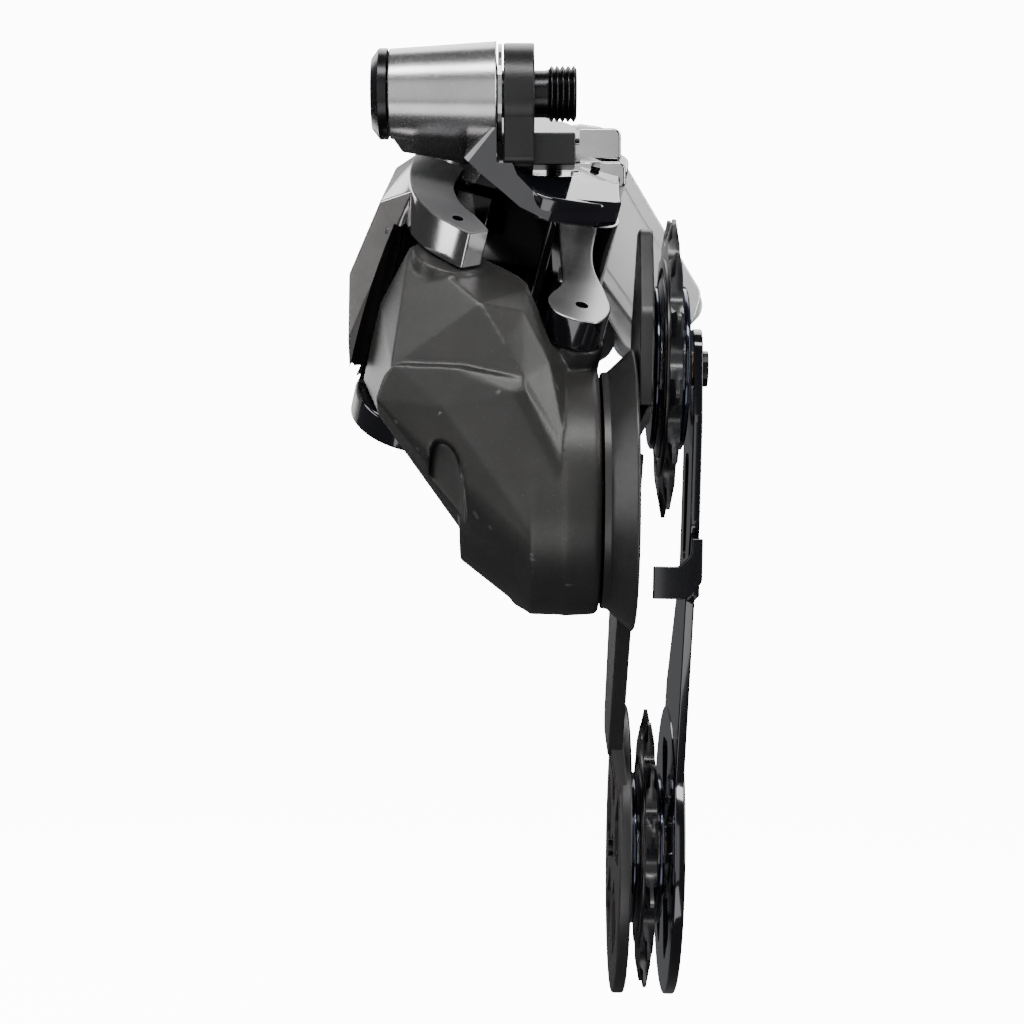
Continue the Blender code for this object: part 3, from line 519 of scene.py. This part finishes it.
def split(obj, at, normal):
    """Cuts every face along a world plane, so that two looks can meet on a clean line."""
    form = bmesh.new()
    form.from_mesh(obj.data)
    everything = form.verts[:] + form.edges[:] + form.faces[:]
    bmesh.ops.bisect_plane(form, geom=everything, plane_co=at * MM, plane_no=normal)
    form.to_mesh(obj.data)
    form.free()


def link_point(u, v, w):
    return LINK @ (Vector((u, v, w)) * MM) / MM


def link_at(u, v):
    return LINK @ Matrix.Translation((u * MM, v * MM, 0))


# ---- studio ----

def glowing_white(name, strength):
    made, _, shader = new_material(name)
    shader.inputs["Base Color"].default_value = (1, 1, 1, 1)
    shader.inputs["Emission Color"].default_value = (1, 1, 1, 1)
    shader.inputs["Emission Strength"].default_value = strength
    return made


def stage_plane(name, corners, material):
    mesh = bpy.data.meshes.new(name)
    mesh.from_pydata(corners, [], [(0, 1, 2, 3)])
    mesh.materials.append(material)
    obj = place(name, mesh)
    return obj


def area_light(name, at, target, size, power):
    light = bpy.data.lights.new(name, "AREA")
    light.shape = "RECTANGLE"
    light.size, light.size_y = size
    light.energy = power
    obj = bpy.data.objects.new(name, light)
    bpy.context.scene.collection.objects.link(obj)
    obj.location = at
    aim = Vector(target) - Vector(at)
    obj.rotation_euler = aim.to_track_quat("-Z", "Y").to_euler()


def studio():
    """A white room that neither lights nor shades the object, and seven soft lamps."""
    world = bpy.data.worlds.new("studio")
    bpy.context.scene.world = world
    world.use_nodes = True
    background = world.node_tree.nodes["Background"]
    background.inputs["Color"].default_value = (0.95, 0.96, 1.0, 1.0)
    background.inputs["Strength"].default_value = WORLD_GLOW
    pale = glowing_white("stage_pale", STAGE_GLOW)
    s, low, high = STAGE_HALF, FLOOR_Z, STAGE_TOP
    corners = [(-s, -s), (s, -s), (s, s), (-s, s)]
    stage = [stage_plane("floor", [(x, y, low) for x, y in corners], pale),
             stage_plane("ceiling", [(x, y, high) for x, y in corners], pale)]
    for i, (first, second) in enumerate(zip(corners, corners[1:] + corners[:1])):
        wall = [(*first, low), (*second, low), (*second, high), (*first, high)]
        stage.append(stage_plane("wall_%d" % i, wall, pale))
    for piece in stage:
        piece.visible_diffuse = False
        piece.visible_glossy = False
        piece.visible_shadow = False
    target = (0.0, 0.01, -0.07)
    area_light("key_top", (-0.08, -0.30, 0.36), target, (0.5, 0.12), 3.6)
    area_light("strip_left", (-0.45, -0.10, 0.02), target, (0.10, 0.5), 1.1)
    area_light("strip_right", (0.45, -0.16, 0.05), target, (0.10, 0.5), 2.4)
    area_light("overhead_back", (0.10, 0.26, 0.36), target, (0.5, 0.35), 2.6)
    area_light("rim_left", (-0.30, 0.40, 0.10), target, (0.2, 0.5), 1.2)
    area_light("low_fill", (-0.15, -0.45, -0.50), target, (0.5, 0.3), 1.5)
    area_light("front_fill", (-0.25, -0.75, -0.05), target, (0.7, 0.7), 2.2)


def camera():
    data = bpy.data.cameras.new("camera")
    data.lens = LENS_MM
    data.sensor_width = SENSOR_MM
    data.clip_start = 0.01
    obj = bpy.data.objects.new("camera", data)
    bpy.context.scene.collection.objects.link(obj)
    obj.location = CAMERA_AT
    obj.rotation_euler = (math.pi / 2, 0.0, 0.0)
    bpy.context.scene.camera = obj


# ---- hanger bolt group ----

# Profiles are (radius, x), in mm along the hanger bolt, whose axis is the world's X
THREAD_R, THREAD_ROOT_R, THREAD_TURNS = 5.0, 4.35, 5
STOP_R, STOP_BORE_R = 9.0, 4.5
STOP_ROOM = [(0, 8.4), (14.7, 8.4), (14.7, -6.95), (0, -6.95)]


def fine_axle():
    profile = [(0, 7.4), (THREAD_ROOT_R, 7.4)]
    for turn in range(THREAD_TURNS):
        crest = 6.9 - turn
        profile += [(4.95, crest + 0.12), (THREAD_R, crest), (4.95, crest - 0.12),
                    (THREAD_ROOT_R, crest - 0.5)]
    profile += [(4.2, 1.8), (4.2, -8.8), (3.2, -9.3), (3.2, -20.3), (4.4, -20.8), (4.4, -26.5)]
    profile += [(8.1, -26.5), (8.1, -28.0), (6.3, -29.4), (0, -29.4)]
    axle = lathed("axle_fine", profile, AXLE, 96, 0.12)
    carve(axle, lathed("socket", [(0, -25.0), (2.9, -25.0), (2.9, -30.0), (0, -30.0)], AXLE, 6, 0))
    claim(dress(axle, "black_oxide"), "bracket_axle")


def fine_stop_plate():
    wall = [(STOP_R, -0.2), (STOP_R, -5.7), (STOP_BORE_R, -5.7), (STOP_BORE_R, -0.2)]
    ring = lathed("ring", wall, AXLE, 96, 0.35, 3)
    foot = rounded([(-7.5, -3), (-6.0, -14.0, 2.5), (5.0, -14.0, 1.5), (7.5, -3)])
    lug = [(-2.0, -13.0), (4.6, -13.0), (4.6, -8.0), (3.6, -7.2), (-2.0, -7.2)]
    plate = gather("stop_plate_fine", ring,
                   carve(slab("foot", foot, -5.5, -0.4, AXLE, 0), plug("bore", 4.6, -8, 2, AXLE)),
                   slab("lug", lug, -2.5, 7.2, AXLE, 0.4))
    claim(dress(plate, "satin_black"), "stop_plate")


# ---- upper knuckle ----

# The bare metal ends at a plane through this point, in mm
SILVER_AT, SILVER_EDGE = Vector((-6.4, 0, -6.2)), Vector((0.78, 0.0, -0.62))


def silver_zone(at, _normal):
    """The bare anodised tube and the fairing above the line that falls from its inner end."""
    return at.x < -6.0 and (at - SILVER_AT).dot(SILVER_EDGE) < 0 and at.z > -17.0


def fine_base():
    tube = [(9.4, -7.0), (9.25, -7.7), (8.0, -26.2), (5.8, -26.2), (5.8, -7.0)]
    parts = [lathed("tube", tube, AXLE, 128, 0.3, 3)]
    rings = [(x, r * c, r * s) for x, r in ((-25.7, 7.9), (-7.3, 9.25)) for c, s in circle(1.0, sides=40)]
    patch = [link_point(*p) for p in ((17.3, -1, 1), (10, -5, 1), (3, -5, 1), (18, 5, 1), (6, 6, 1))]
    fairing = hulled("fairing", rings + patch + [(-24.2, 5.0, -9.6)], Matrix(), 0.35)
    carve(fairing, plug("tube_room", 5.9, -30, -5, AXLE))
    parts.append(fairing)
    front = [(-12, -6), (3, -4.5), (17.3, -1), (26.5, 6), (33, 10.6), (36, 13.8), (35.5, 19), (34, 24.4),
             (30.6, 28.0), (24.9, 27.6), (5.6, 27), (1, 24), (-2, 12), (-12, 6)]
    outline = smooth_outline(front, {0, 7, 8, 10, 11, 12, 13}, 5)
    parts.append(slab("front_plate", outline, 0.8, 5.5, LINK, 0.9, 4))
    fork = rounded([(-13, -7, 2), (7, -7, 6), (8.6, 18), (8.6, 29.6, 5), (-2, 29.6, 3), (-13, 17, 3)])
    parts.append(slab("fork_top", fork, -7.6, 1.4, LINK, 0.5))
    parts.append(slab("fork_low", fork, -41.2, -35.6, LINK, 0.5))
    wall = rounded([(-13.1, -6.8, 1), (-7.6, -6.8, 1), (-7.6, 20.0, 1), (-13.1, 14.0, 1)])
    parts.append(slab("rear_wall", wall, -41.0, 1.2, LINK, 0.4))
    for low, high, out, drop in ((-9.6, -3.6, 16.2, 13.0), (-15.4, -10.7, 16.8, 8.0)):
        step = rounded([(6.8, low, 0.8), (out, low, 0.8), (out, high, 1.6), (6.8, high, 1.6)])
        parts.append(slab("step", step, -26.0, -drop, FRONTAL, 0.5, 4))
    hole = [(0, 0), (0.9, 0), (0.9, -9.5), (0, -9.5)]
    carve(parts[-1], lathed("hole", hole, frontal_at(11.2, -11.9), 32, 0))
    parts += curved_arm()
    for part in parts[2:]:
        carve(part, lathed("stop_room", STOP_ROOM, AXLE, 96, 0))
    base = gather("linkage_base_fine", *parts)
    dress(base, "gloss_black")
    split(base, SILVER_AT, SILVER_EDGE)
    sided(base, "silver_polished", polished_steps)
    claim(sided(base, "silver", silver_zone), "linkage_base")


def curved_arm():
    """The black arm that sweeps from the tube's inner end round the stop plate to the front plate."""
    rim = [(-6.3, -6, -5.6), (-5.4, -6, -10.4), (-3.3, -6, -15.5), (-0.5, -6, -18.4), (3.8, -6, -19.6),
           (14.2, -4, -20.1)]
    foot = [(-12.7, -6, -12.5), (-9.9, -6, -15.2), (-6.5, -6, -18.0), (-2.8, -6, -21.2), (2.2, -6, -23.7),
            (14.2, -4, -23.6)]
    inward = ALONG * -8.0
    sections = [[Vector(a), Vector(b), Vector(a) + inward, Vector(b) + inward] for a, b in zip(rim, foot)]
    return [hulled("sweep", first + second, Matrix(), 0) for first, second in zip(sections, sections[1:])]


def frontal_at(x, z):
    return FRONTAL @ Matrix.Translation((x * MM, z * MM, 0))


def polished_steps(at, _normal):
    """The two stepped blocks beside and behind the stop plate."""
    return at.x > 8.4 and -15.7 < at.z < -3.4 and 7.5 < at.y < 26.5


# ---- outer link ----

# Hook thickness, and radii of the pin bores, the link's barrels and the lower ear, in mm
HOOK_THICK = 7.0
PIN_BORE_R, BARREL_R, INNER_BARREL_R, LOW_EAR_R = 2.3, 6.0, 5.8, 11.5


def to_link(at):
    return LINK.inverted() @ (at * MM) / MM


def hook_side(at, normal):
    """The polished edge of the hook."""
    local = to_link(at)
    return -7.2 < local.z < -0.4 and local.y > -12.0 and abs(normal.dot(PIN)) < 0.75 and local.x > 14.0


def hook_top(at, normal):
    return normal.dot(PIN) > 0.9 and to_link(at).z > -0.8


def link_inside(at, _normal):
    local = to_link(at)
    return local.z < -7.3 and local.y > -9.5


def fine_outer_link():
    hook = smooth_outline([(15.7, -10.4), (26.1, -10.4), (35, -8.7), (41.4, -5.0), (45.1, -0.2), (46.6, 2.6),
                           (43.4, 5.8), (39.0, 3.2), (35.6, 0.4), (31.2, -1.4), (26.6, -2.0), (18.7, -0.9)],
                          {0, 5, 6, 11}, 7)
    web = rounded([(0, -6), (12, -10.5), (30, -12.6), (34.5, -12.2), (34.2, 3.0, 2), (30, 5.0, 2), (0, 6)])
    neck = [(17, -9.7), (33.2, -8.8), (32.1, -3.0), (19.3, -3.0)]
    panel = [(15.9, -10.2, -0.6), (26, -10.2, -0.6), (33, -9, -0.6), (14, -13.5, -5), (31, -14.4, -5),
             (13, -15, -18), (34.5, -17.1, -19), (14, -13, -33), (40.5, -14.6, -29), (43.5, -12.5, -36),
             (22, -9, -38), (34, -9, -5), (36, -9, -36), (20, -8, -20)]
    low_ear = rounded([(18, -8.5), (30, -11.0), (41, -11.2), (41, 8), (24, 3, 3)])
    low = link_at(LINK_LENGTH, 0)
    disc = [(0, -36.5), (LOW_EAR_R, -36.5), (LOW_EAR_R, -42.0), (0, -42.0)]
    parts = [slab("hook", hook, -HOOK_THICK, 0.0, LINK, 0.28, 3), slab("web", web, -35.0, -8.3, LINK, 0.4),
             slab("neck", neck, -10.0, -5.5, LINK, 0),
             lathed("barrel", tube_wall(BARREL_R, PIN_BORE_R, -35.2, -8.0), LINK, 64),
             hulled("panel", panel, LINK, 1.1, 4), slab("low_ear_arm", low_ear, -41.4, -34.3, LINK, 0.4),
             lathed("low_ear", disc, low, 96, 0.6, 3)]
    for part in parts[1:6]:
        carve(part, plug("sweep", 13.2, -36.3, -7.1, low))
    carve(parts[0], plug("eye", 1.0, -3, 3, low, 32))
    for part in (parts[1], parts[4], parts[5]):
        carve(part, plug("fork_room", 14.0, -43.0, -35.3, LINK))
    link = dress(gather("outer_link_fine", *parts), "link_grey")
    sided(link, "hook_satin", hook_top)
    sided(link, "gloss_black", link_inside)
    claim(sided(link, "silver_polished", hook_side), "outer_link")


def tube_wall(outer, inner, low, high):
    return [(outer, high), (outer, low), (inner, low), (inner, high)]


# ---- inner link ----

# The inner link's upper pivot in the outer link's frame, in mm
INNER_U, INNER_V = 1.8, 24.9


def fine_inner_link():
    ear = smooth_outline([(8, 18.6), (20, 19.6), (28.4, 20.3), (36, 20.9), (43.5, 18.8), (48.9, 21.0),
                          (49.2, 27.5), (43, 30.2), (36, 29.0), (28, 26.8), (20, 26.0), (8, 26.4)],
                         {0, 11}, 6)
    web = [(u, v, w) for u, low in ((INNER_U, -34.8), (12, -34.8), (34.5, -20.0))
           for v in (20.2, 26.0) for w in (low, -10.4)]
    low = link_at(LINK_LENGTH + INNER_U, INNER_V)
    ear_piece = carve(slab("ear", ear, -15.9, -9.9, LINK, 0.35), plug("eye", 1.2, -12, -5, low, 32))
    web_piece = carve(hulled("web", web, LINK, 0.5), plug("sweep", 6.7, -33.5, -15.8, low))
    barrel = tube_wall(INNER_BARREL_R, PIN_BORE_R, -35.2, -10.2)
    barrel = lathed("barrel", barrel, link_at(INNER_U, INNER_V), 64)
    # Faces not turned up along the pins stay gloss black: on the ear's sides this black is painted shade, and the
    # faces turned up carry the link's light grey
    link = dress(gather("inner_link_fine", ear_piece, web_piece, barrel), "gloss_black")
    claim(sided(link, "light_grey_metal", lambda at, normal: normal.dot(PIN) > 0.6), "inner_link")


# ---- lower knuckle ----

# Radii in mm: the arm's blend into the drum, then the rooms hollowed for spring, axle and lower ear
DRUM_BLEND_R = 22.4
SPRING_ROOM_R, AXLE_ROOM_R, LOW_EAR_ROOM_R = 17.5, 6.3, 12.0


def knuckle_arm():
    """The faceted body above the drum: outboard facet, crease, and the chamfered inboard band."""
    top = [(-22.3, -5.9, -28.1), (-18.6, -8.5, -30.8), (-15.6, -8.3, -31.4), (-8.1, -4.4, -31.0),
           (-5.4, -5.1, -32.1)]
    crease = [(-9.6, -16.0, -39.3), (-5.5, -17.5, -46.3), (-2.2, -18.4, -52.4), (-1.2, -18.6, -56.6)]
    band = [(-1.6, -9.0, -36.3), (6.2, -3.0, -49.6), (-2.2, -13.5, -40.4), (2.4, -14.5, -49.4),
            (5.0, -14.0, -57.4)]
    pocket = [(-25.2, -13.2, -50.2), (-14.0, -16.0, -51.2), (-10.8, -17.4, -53.4)]
    back = [link_point(*p) for p in ((39, 6.4, -7.6), (42.6, 14.4, -8.0), (37.5, -3, -7.6), (41, -10.3, -20),
                                     (42, -10.4, -35.5), (56, -6, -33.7))]
    return top + crease + band + pocket + back + drum_ring()


def knuckle_lip():
    """The lower part, standing proud of the pocket and running down to the drum."""
    upper = [(-26.5, -14.5, -51.6), (-24.9, -15.5, -49.8), (-14.0, -18.3, -50.4), (-11.0, -19.0, -53.0),
             (-2.2, -18.6, -52.6)]
    edge = [(-27.9, -14.5, -55.7), (-16.0, -18.9, -57.3), (-4.2, -19.6, -55.0), (-1.9, -19.2, -54.6)]
    low = [(-28.0, -9.0, -57.9), (-22.2, -7.0, -65.8), (-18.3, -6.0, -69.8), (-13.7, -5.0, -76.2)]
    rear = [(-24.0, 2.0, -55.0), (-14.0, 4.0, -76.0), (-4.0, 4.0, -92.0)]
    return upper + edge + low + rear + drum_ring()


def drum_ring():
    """Two circles just under the drum's wall, which the arm and the lip run down to."""
    middle = P_AXIS / MM
    spots = [(middle.y + DRUM_BLEND_R * c, middle.z + DRUM_BLEND_R * s) for c, s in circle(1.0, sides=72)]
    return [(x, y, z) for y, z in spots for x in (-0.9, 5.0)]


def fine_knuckle():
    cup = [(0, 11.3), (21.9, 11.3), (22.5, 10.6), (22.8, 5.0), (22.6, 4.6), (22.5, -0.9), (12.5, -13.6),
           (0, -13.6)]
    outer, inner = link_at(LINK_LENGTH, 0), link_at(LINK_LENGTH + INNER_U, INNER_V)
    body = lathed("knuckle_fine", cup, DRUM, 128, 0)
    fuse(body, hulled("arm", knuckle_arm(), Matrix(), 0), hulled("lip", knuckle_lip(), Matrix(), 0),
         plug("outer_lug", 6.5, -36.0, -7.4, outer), plug("inner_lug", 5.8, -26.0, -16.3, inner))
    scoop = [(-16.6, -77.0), (-12.4, -78.5), (-13.4, -66.0), (-17.4, -63.0), (-18.6, -69.0)]
    carve(body, slab("scoop", smooth_outline(scoop, (), 5), 8.0, 26.0, FRONTAL, 0),
          plug("low_ear_room", LOW_EAR_ROOM_R, -42.4, -36.1, outer),
          plug("top_room", 40.0, -7.2, 30.0, outer),
          plug("inner_ear_room", 7.6, -16.2, 0.0, inner),
          slab("link_room", inner_sweep(), -27.0, 5.0, inner, 0),
          plug("spring_room", SPRING_ROOM_R, -1.0, 14.0, DRUM),
          plug("axle_room", AXLE_ROOM_R, -10.0, 14.0, DRUM),
          plug("outer_bore", PIN_BORE_R, -48, -5, outer, 32),
          plug("inner_bore", PIN_BORE_R, -23.5, -10, inner, 32))
    soften(body, voxel=0.33, passes=5, ratio=0.45)
    body.data.materials.clear()
    body.data.materials.append(LOOKS["graphite"])
    claim(body, "knuckle_housing")


def inner_sweep():
    """The room that the inner link's web needs as it swings through the linkage's travel."""
    turn, room = math.radians(50.0), 6.7
    ahead = Vector((-math.cos(turn), -math.sin(turn)))
    beside = Vector((math.sin(turn), -math.cos(turn)))
    angles = map(math.radians, (255, 240, 225, 200, 180))
    near = [Vector((room * math.cos(a), room * math.sin(a))) for a in angles]
    far = [beside * room + ahead * reach for reach in (70.0, 4.0)]
    return [(-room, 7.0), (-70.0, 7.0), (-70.0, far[0].y)] + far + near


# ---- cage ----

DROP = (TENSION - GUIDE) / MM
# Rearward and upward places in the cage's frame, in mm: the tension pulley's and the cage axle's
TY, TB = DROP.y, DROP.dot(CAGE_UP)
PY, PB = -14.2, -23.3
# Radii in mm: the lower discs, and the holes for the bolts in the inner and the outer plate
DISC_R, BOLT_HOLE_R, BOLT_ROOM_R = 29.5, 2.2, 2.8


def windows(low, high):
    """Five cutters for the openings of a disc at the tension pulley."""
    cutters = []
    for i in range(5):
        angle = math.radians(72 * i + 90)
        corners = [(9.5, -0.42, 2.5), (9.5, 0.42, 2.5), (24.0, 0.34, 3), (24.0, -0.34, 3)]
        shape = rounded([(r * math.cos(angle + a), r * math.sin(angle + a), k) for r, a, k in corners])
        cutters.append(slab("window", shape, low, high, LOW_DISC, 0))
    return cutters


def fine_outer_plate():
    flange = [(0, 17.8), (25.2, 17.8), (25.6, 17.5), (25.5, 17.2), (21.6, 13.0), (21.4, 11.8), (0, 11.8)]
    ring = carve(lathed("flange", flange, DRUM, 144, 0.12),
                 plug("hole", 4.4, 8, 20, DRUM), plug("head_room", 6.6, 16.5, 20, DRUM))
    head = rounded([(-25, -8.5), (-25.5, 8, 5), (-16, 24.2, 3), (-9, 24.2, 3), (4, 8, 6), (8, -8.5)])
    head = carve(slab("head", head, -6.7, -4.2, CAGE, 0.4), plug("bolt_room", BOLT_ROOM_R, -9, 0, CAGE, 40))
    arm = rounded([(PY - 21, PB + 6), (PY + 19, PB + 6), (TY - 2, TB + 25, 4), (TY - 23, TB + 21, 4)])
    arm = slab("arm", arm, -9.0, -6.2, CAGE, 0.4)
    step = [(y, b + rise, n - rise * 0.1) for b, n in ((-7.5, -4.6), (-14.5, -8.0)) for rise in (0.0, -2.6)
            for y in (-24.6, 7.2)]
    disc = [(0, -4.1), (DISC_R, -4.1), (DISC_R, -6.5), (0, -6.5)]
    low = lathed("disc", disc, LOW_DISC, 144, 0.5, 3)
    neck = [(TY - 24.5, TB + 24, -8.7), (TY + 1, TB + 27, -8.7), (TY - 25, TB + 10, -6.3),
            (TY + 20, TB + 14, -6.3), (TY - 24.5, TB + 24, -6.0), (TY + 1, TB + 27, -6.0),
            (TY - 25, TB + 10, -4.4), (TY + 20, TB + 14, -4.4)]
    neck = hulled("neck", neck, CAGE, 0.3)
    for part in (low, neck):
        carve(part, *windows(-12, 0), plug("bolt_room", BOLT_ROOM_R, -9, 0, LOW_DISC, 40))
    plate = gather("cage_outer_fine", ring, head, arm, hulled("step", step, CAGE, 0.3), low, neck)
    claim(dress(plate, "graphite_plate"), "cage_outer_plate")


def fine_inner_plate():
    shape = rounded([(-8, 7, 5), (7, 7.5, 5), (9.5, -10), (13.5, -38, 8), (TY + 4, TB + 34, 8),
                     (TY + 10, TB + 20), (TY - 24, TB + 16), (-2, -44, 8), (-9.5, -30, 6), (-11, -10, 6)])
    slot = rounded([(-4, -16, 2), (4, -16, 2), (6, -36, 2), (0, -36, 2)])
    blade = carve(slab("blade", shape, 4.2, 6.0, CAGE, 0.3), slab("slot", slot, 0, 9, CAGE, 0),
                  plug("hole", BOLT_HOLE_R, 0, 9, CAGE, 32), *windows(0, 12))
    low = lathed("disc", [(0, 6.2), (DISC_R, 6.2), (DISC_R, 4.0), (0, 4.0)], LOW_DISC, 144, 0.5, 3)
    carve(low, *windows(0, 12), plug("hole", BOLT_HOLE_R, 0, 9, LOW_DISC, 32))
    root = slab("root", [(-12.3, -32.4), (-4, -30.0), (-2, -44.0), (-12.3, -42.6)], 4.4, 5.9, CAGE, 0.2)
    lip = rounded([(-2.6, -43.2), (3.6, -43.2, 2.5), (6.4, -40.0, 2), (6.4, -32.0), (4.3, -32.0),
                   (4.3, -35.0, 2), (2.0, -37.2, 1.5), (-2.6, -37.2)])
    plate = gather("cage_inner_fine", blade, low, root, slab("lip", lip, 10.6, 12.4, TAB, 0.25))
    claim(dress(plate, "gloss_black"), "cage_inner_plate")


# ---- pulleys ----

TEETH, TIP_R, ROOT_R = 13, 28.5, 22.7
# The chamfered teeth: tip radius on the faces, and half the thickness at the faces and at the tips
FACE_TIP_R, HALF_FACE, HALF_TIP = 24.6, 1.1, 0.35
WHEEL_BORE_R = 7.6


def tooth_outline(tip):
    """Rounded chain gullets between slender teeth, cut off at the given tip radius."""
    pitch = 2 * math.pi / TEETH
    marks = [(-0.5, ROOT_R), (-0.38, ROOT_R + 0.35), (-0.28, ROOT_R + 1.4), (-0.19, TIP_R - 2.8),
             (-0.10, TIP_R - 0.9), (-0.03, TIP_R), (0.03, TIP_R), (0.10, TIP_R - 0.9),
             (0.19, TIP_R - 2.8), (0.28, ROOT_R + 1.4), (0.38, ROOT_R + 0.35)]
    return [(min(r, tip) * math.cos((i + f) * pitch), min(r, tip) * math.sin((i + f) * pitch))
            for i in range(TEETH) for f, r in marks]


def toothed(name, plane):
    form = bmesh.new()
    layers = []
    levels = ((-HALF_FACE, FACE_TIP_R), (-HALF_TIP, TIP_R), (HALF_TIP, TIP_R), (HALF_FACE, FACE_TIP_R))
    for height, tip in levels:
        layers.append([form.verts.new((x * MM, y * MM, height * MM)) for x, y in tooth_outline(tip)])
    form.faces.new(layers[0][::-1])
    form.faces.new(layers[-1])
    count = len(layers[0])
    for first, second in zip(layers, layers[1:]):
        for i in range(count):
            j = (i + 1) % count
            form.faces.new((first[i], first[j], second[j], second[i]))
    return mesh_object(name, form, plane)


def fine_pulley(name, plane):
    wheel = carve(toothed("teeth", plane), plug("bore", WHEEL_BORE_R, -3, 3, plane, 64))
    rim = [(20.6, 1.45), (18.8, 1.6), (18.8, -1.6), (20.6, -1.45)]
    hub = [(17.0, 1.6), (17.0, -1.6), (WHEEL_BORE_R, -1.6), (WHEEL_BORE_R, 1.6)]
    rings = [lathed("rim", rim, plane, 96, 0.2), lathed("hub", hub, plane, 96, 0.2)]
    wheel = gather(name + "_wheel_fine", wheel, *rings)
    claim(dress(wheel, "pulley"), name + "_wheel")
    for side, sign in (("outer", -1), ("inner", 1)):
        levels = [(15.4, 2.25), (15.4, 2.9), (14.6, 3.3), (11.0, 3.3), (10.4, 2.9), (7.2, 2.9), (6.6, 3.3),
                  (3.8, 3.3), (3.8, 2.25)]
        shield = lathed("shield", [(r, h * sign) for r, h in levels[::sign]], plane, 96, 0.12)
        claim(dress(gather(name + "_shield_%s_fine" % side, shield), "ring_blue"), name + "_shield_" + side)


# ---- battery ----

SLOPE = math.radians(59.3)
DOWN = Vector((math.cos(SLOPE), 0, -math.sin(SLOPE)))
THROUGH = Vector((-math.sin(SLOPE), 0, -math.cos(SLOPE)))
BATTERY = frame_from(DOWN, THROUGH, DOWN.cross(THROUGH), Vector((17.9, 0.0, -1.3)) * MM)
BATTERY_LENGTH, BATTERY_WIDTH = 37.5, 19.0
# Rearward reach of each piece, in mm
MOUNT_SPAN, CASE_SPAN, LID_SPAN = (54.6, 57.4), (57.9, 81.9), (82.2, 83.9)


def fine_battery():
    shape = rounded([(-0.3, 0.0, 2.5), (BATTERY_LENGTH, 0.0, 4), (BATTERY_LENGTH, BATTERY_WIDTH, 4),
                     (-0.3, BATTERY_WIDTH, 2.5)])
    inset = rounded([(4.0, 3.6, 2), (33.5, 3.6, 3), (33.5, 15.4, 3), (4.0, 15.4, 2)])
    case = slab("battery_case_fine", shape, *CASE_SPAN, BATTERY, 0.5, 4)
    claim(dress(case, "light_grey"), "battery_case")
    lid = carve(slab("battery_lid_fine", shape, *LID_SPAN, BATTERY, 0.5, 4),
                slab("inset", inset, 83.5, 86, BATTERY, 0))
    claim(dress(lid, "light_grey"), "battery_lid")
    mount = rounded([(-9.5, 3.5, 2), (-6.5, -0.2, 2), (33.5, -0.2, 4), (38, 4.5, 4), (36, 15, 3),
                     (-4, 19.1, 2), (-13, 12, 2)])
    border = rounded([(-2.5, 2.4, 1.5), (31.5, 2.4, 3), (34.0, 5.6, 3), (32.6, 13.6, 2.5), (-2.5, 16.6, 1.5)])
    inner = rounded([(-1.9, 3.0, 1.2), (31.2, 3.0, 2.6), (33.4, 5.8, 2.6), (32.0, 13.0, 2.1),
                     (-1.9, 15.9, 1.2)])
    plate = slab("battery_mount_fine", mount, *MOUNT_SPAN, BATTERY, 0.6, 4)
    island = slab("island", inner, 53.0, 56.0, BATTERY, 0)
    carve(plate, carve(slab("groove", border, 54.0, 54.95, BATTERY, 0), island))
    claim(dress(plate, "light_grey"), "battery_mount")


# ---- the whole ----

def main():
    camera()
    studio()
    fine_axle()
    fine_stop_plate()
    fine_base()
    fine_outer_link()
    fine_inner_link()
    fine_knuckle()
    fine_outer_plate()
    fine_inner_plate()
    fine_pulley("guide", CAGE)
    fine_pulley("tension", LOW_DISC)
    fine_battery()
    for node in NODES:
        if not NODES[node].hide_render:
            keep_with_bevel(node)


main()
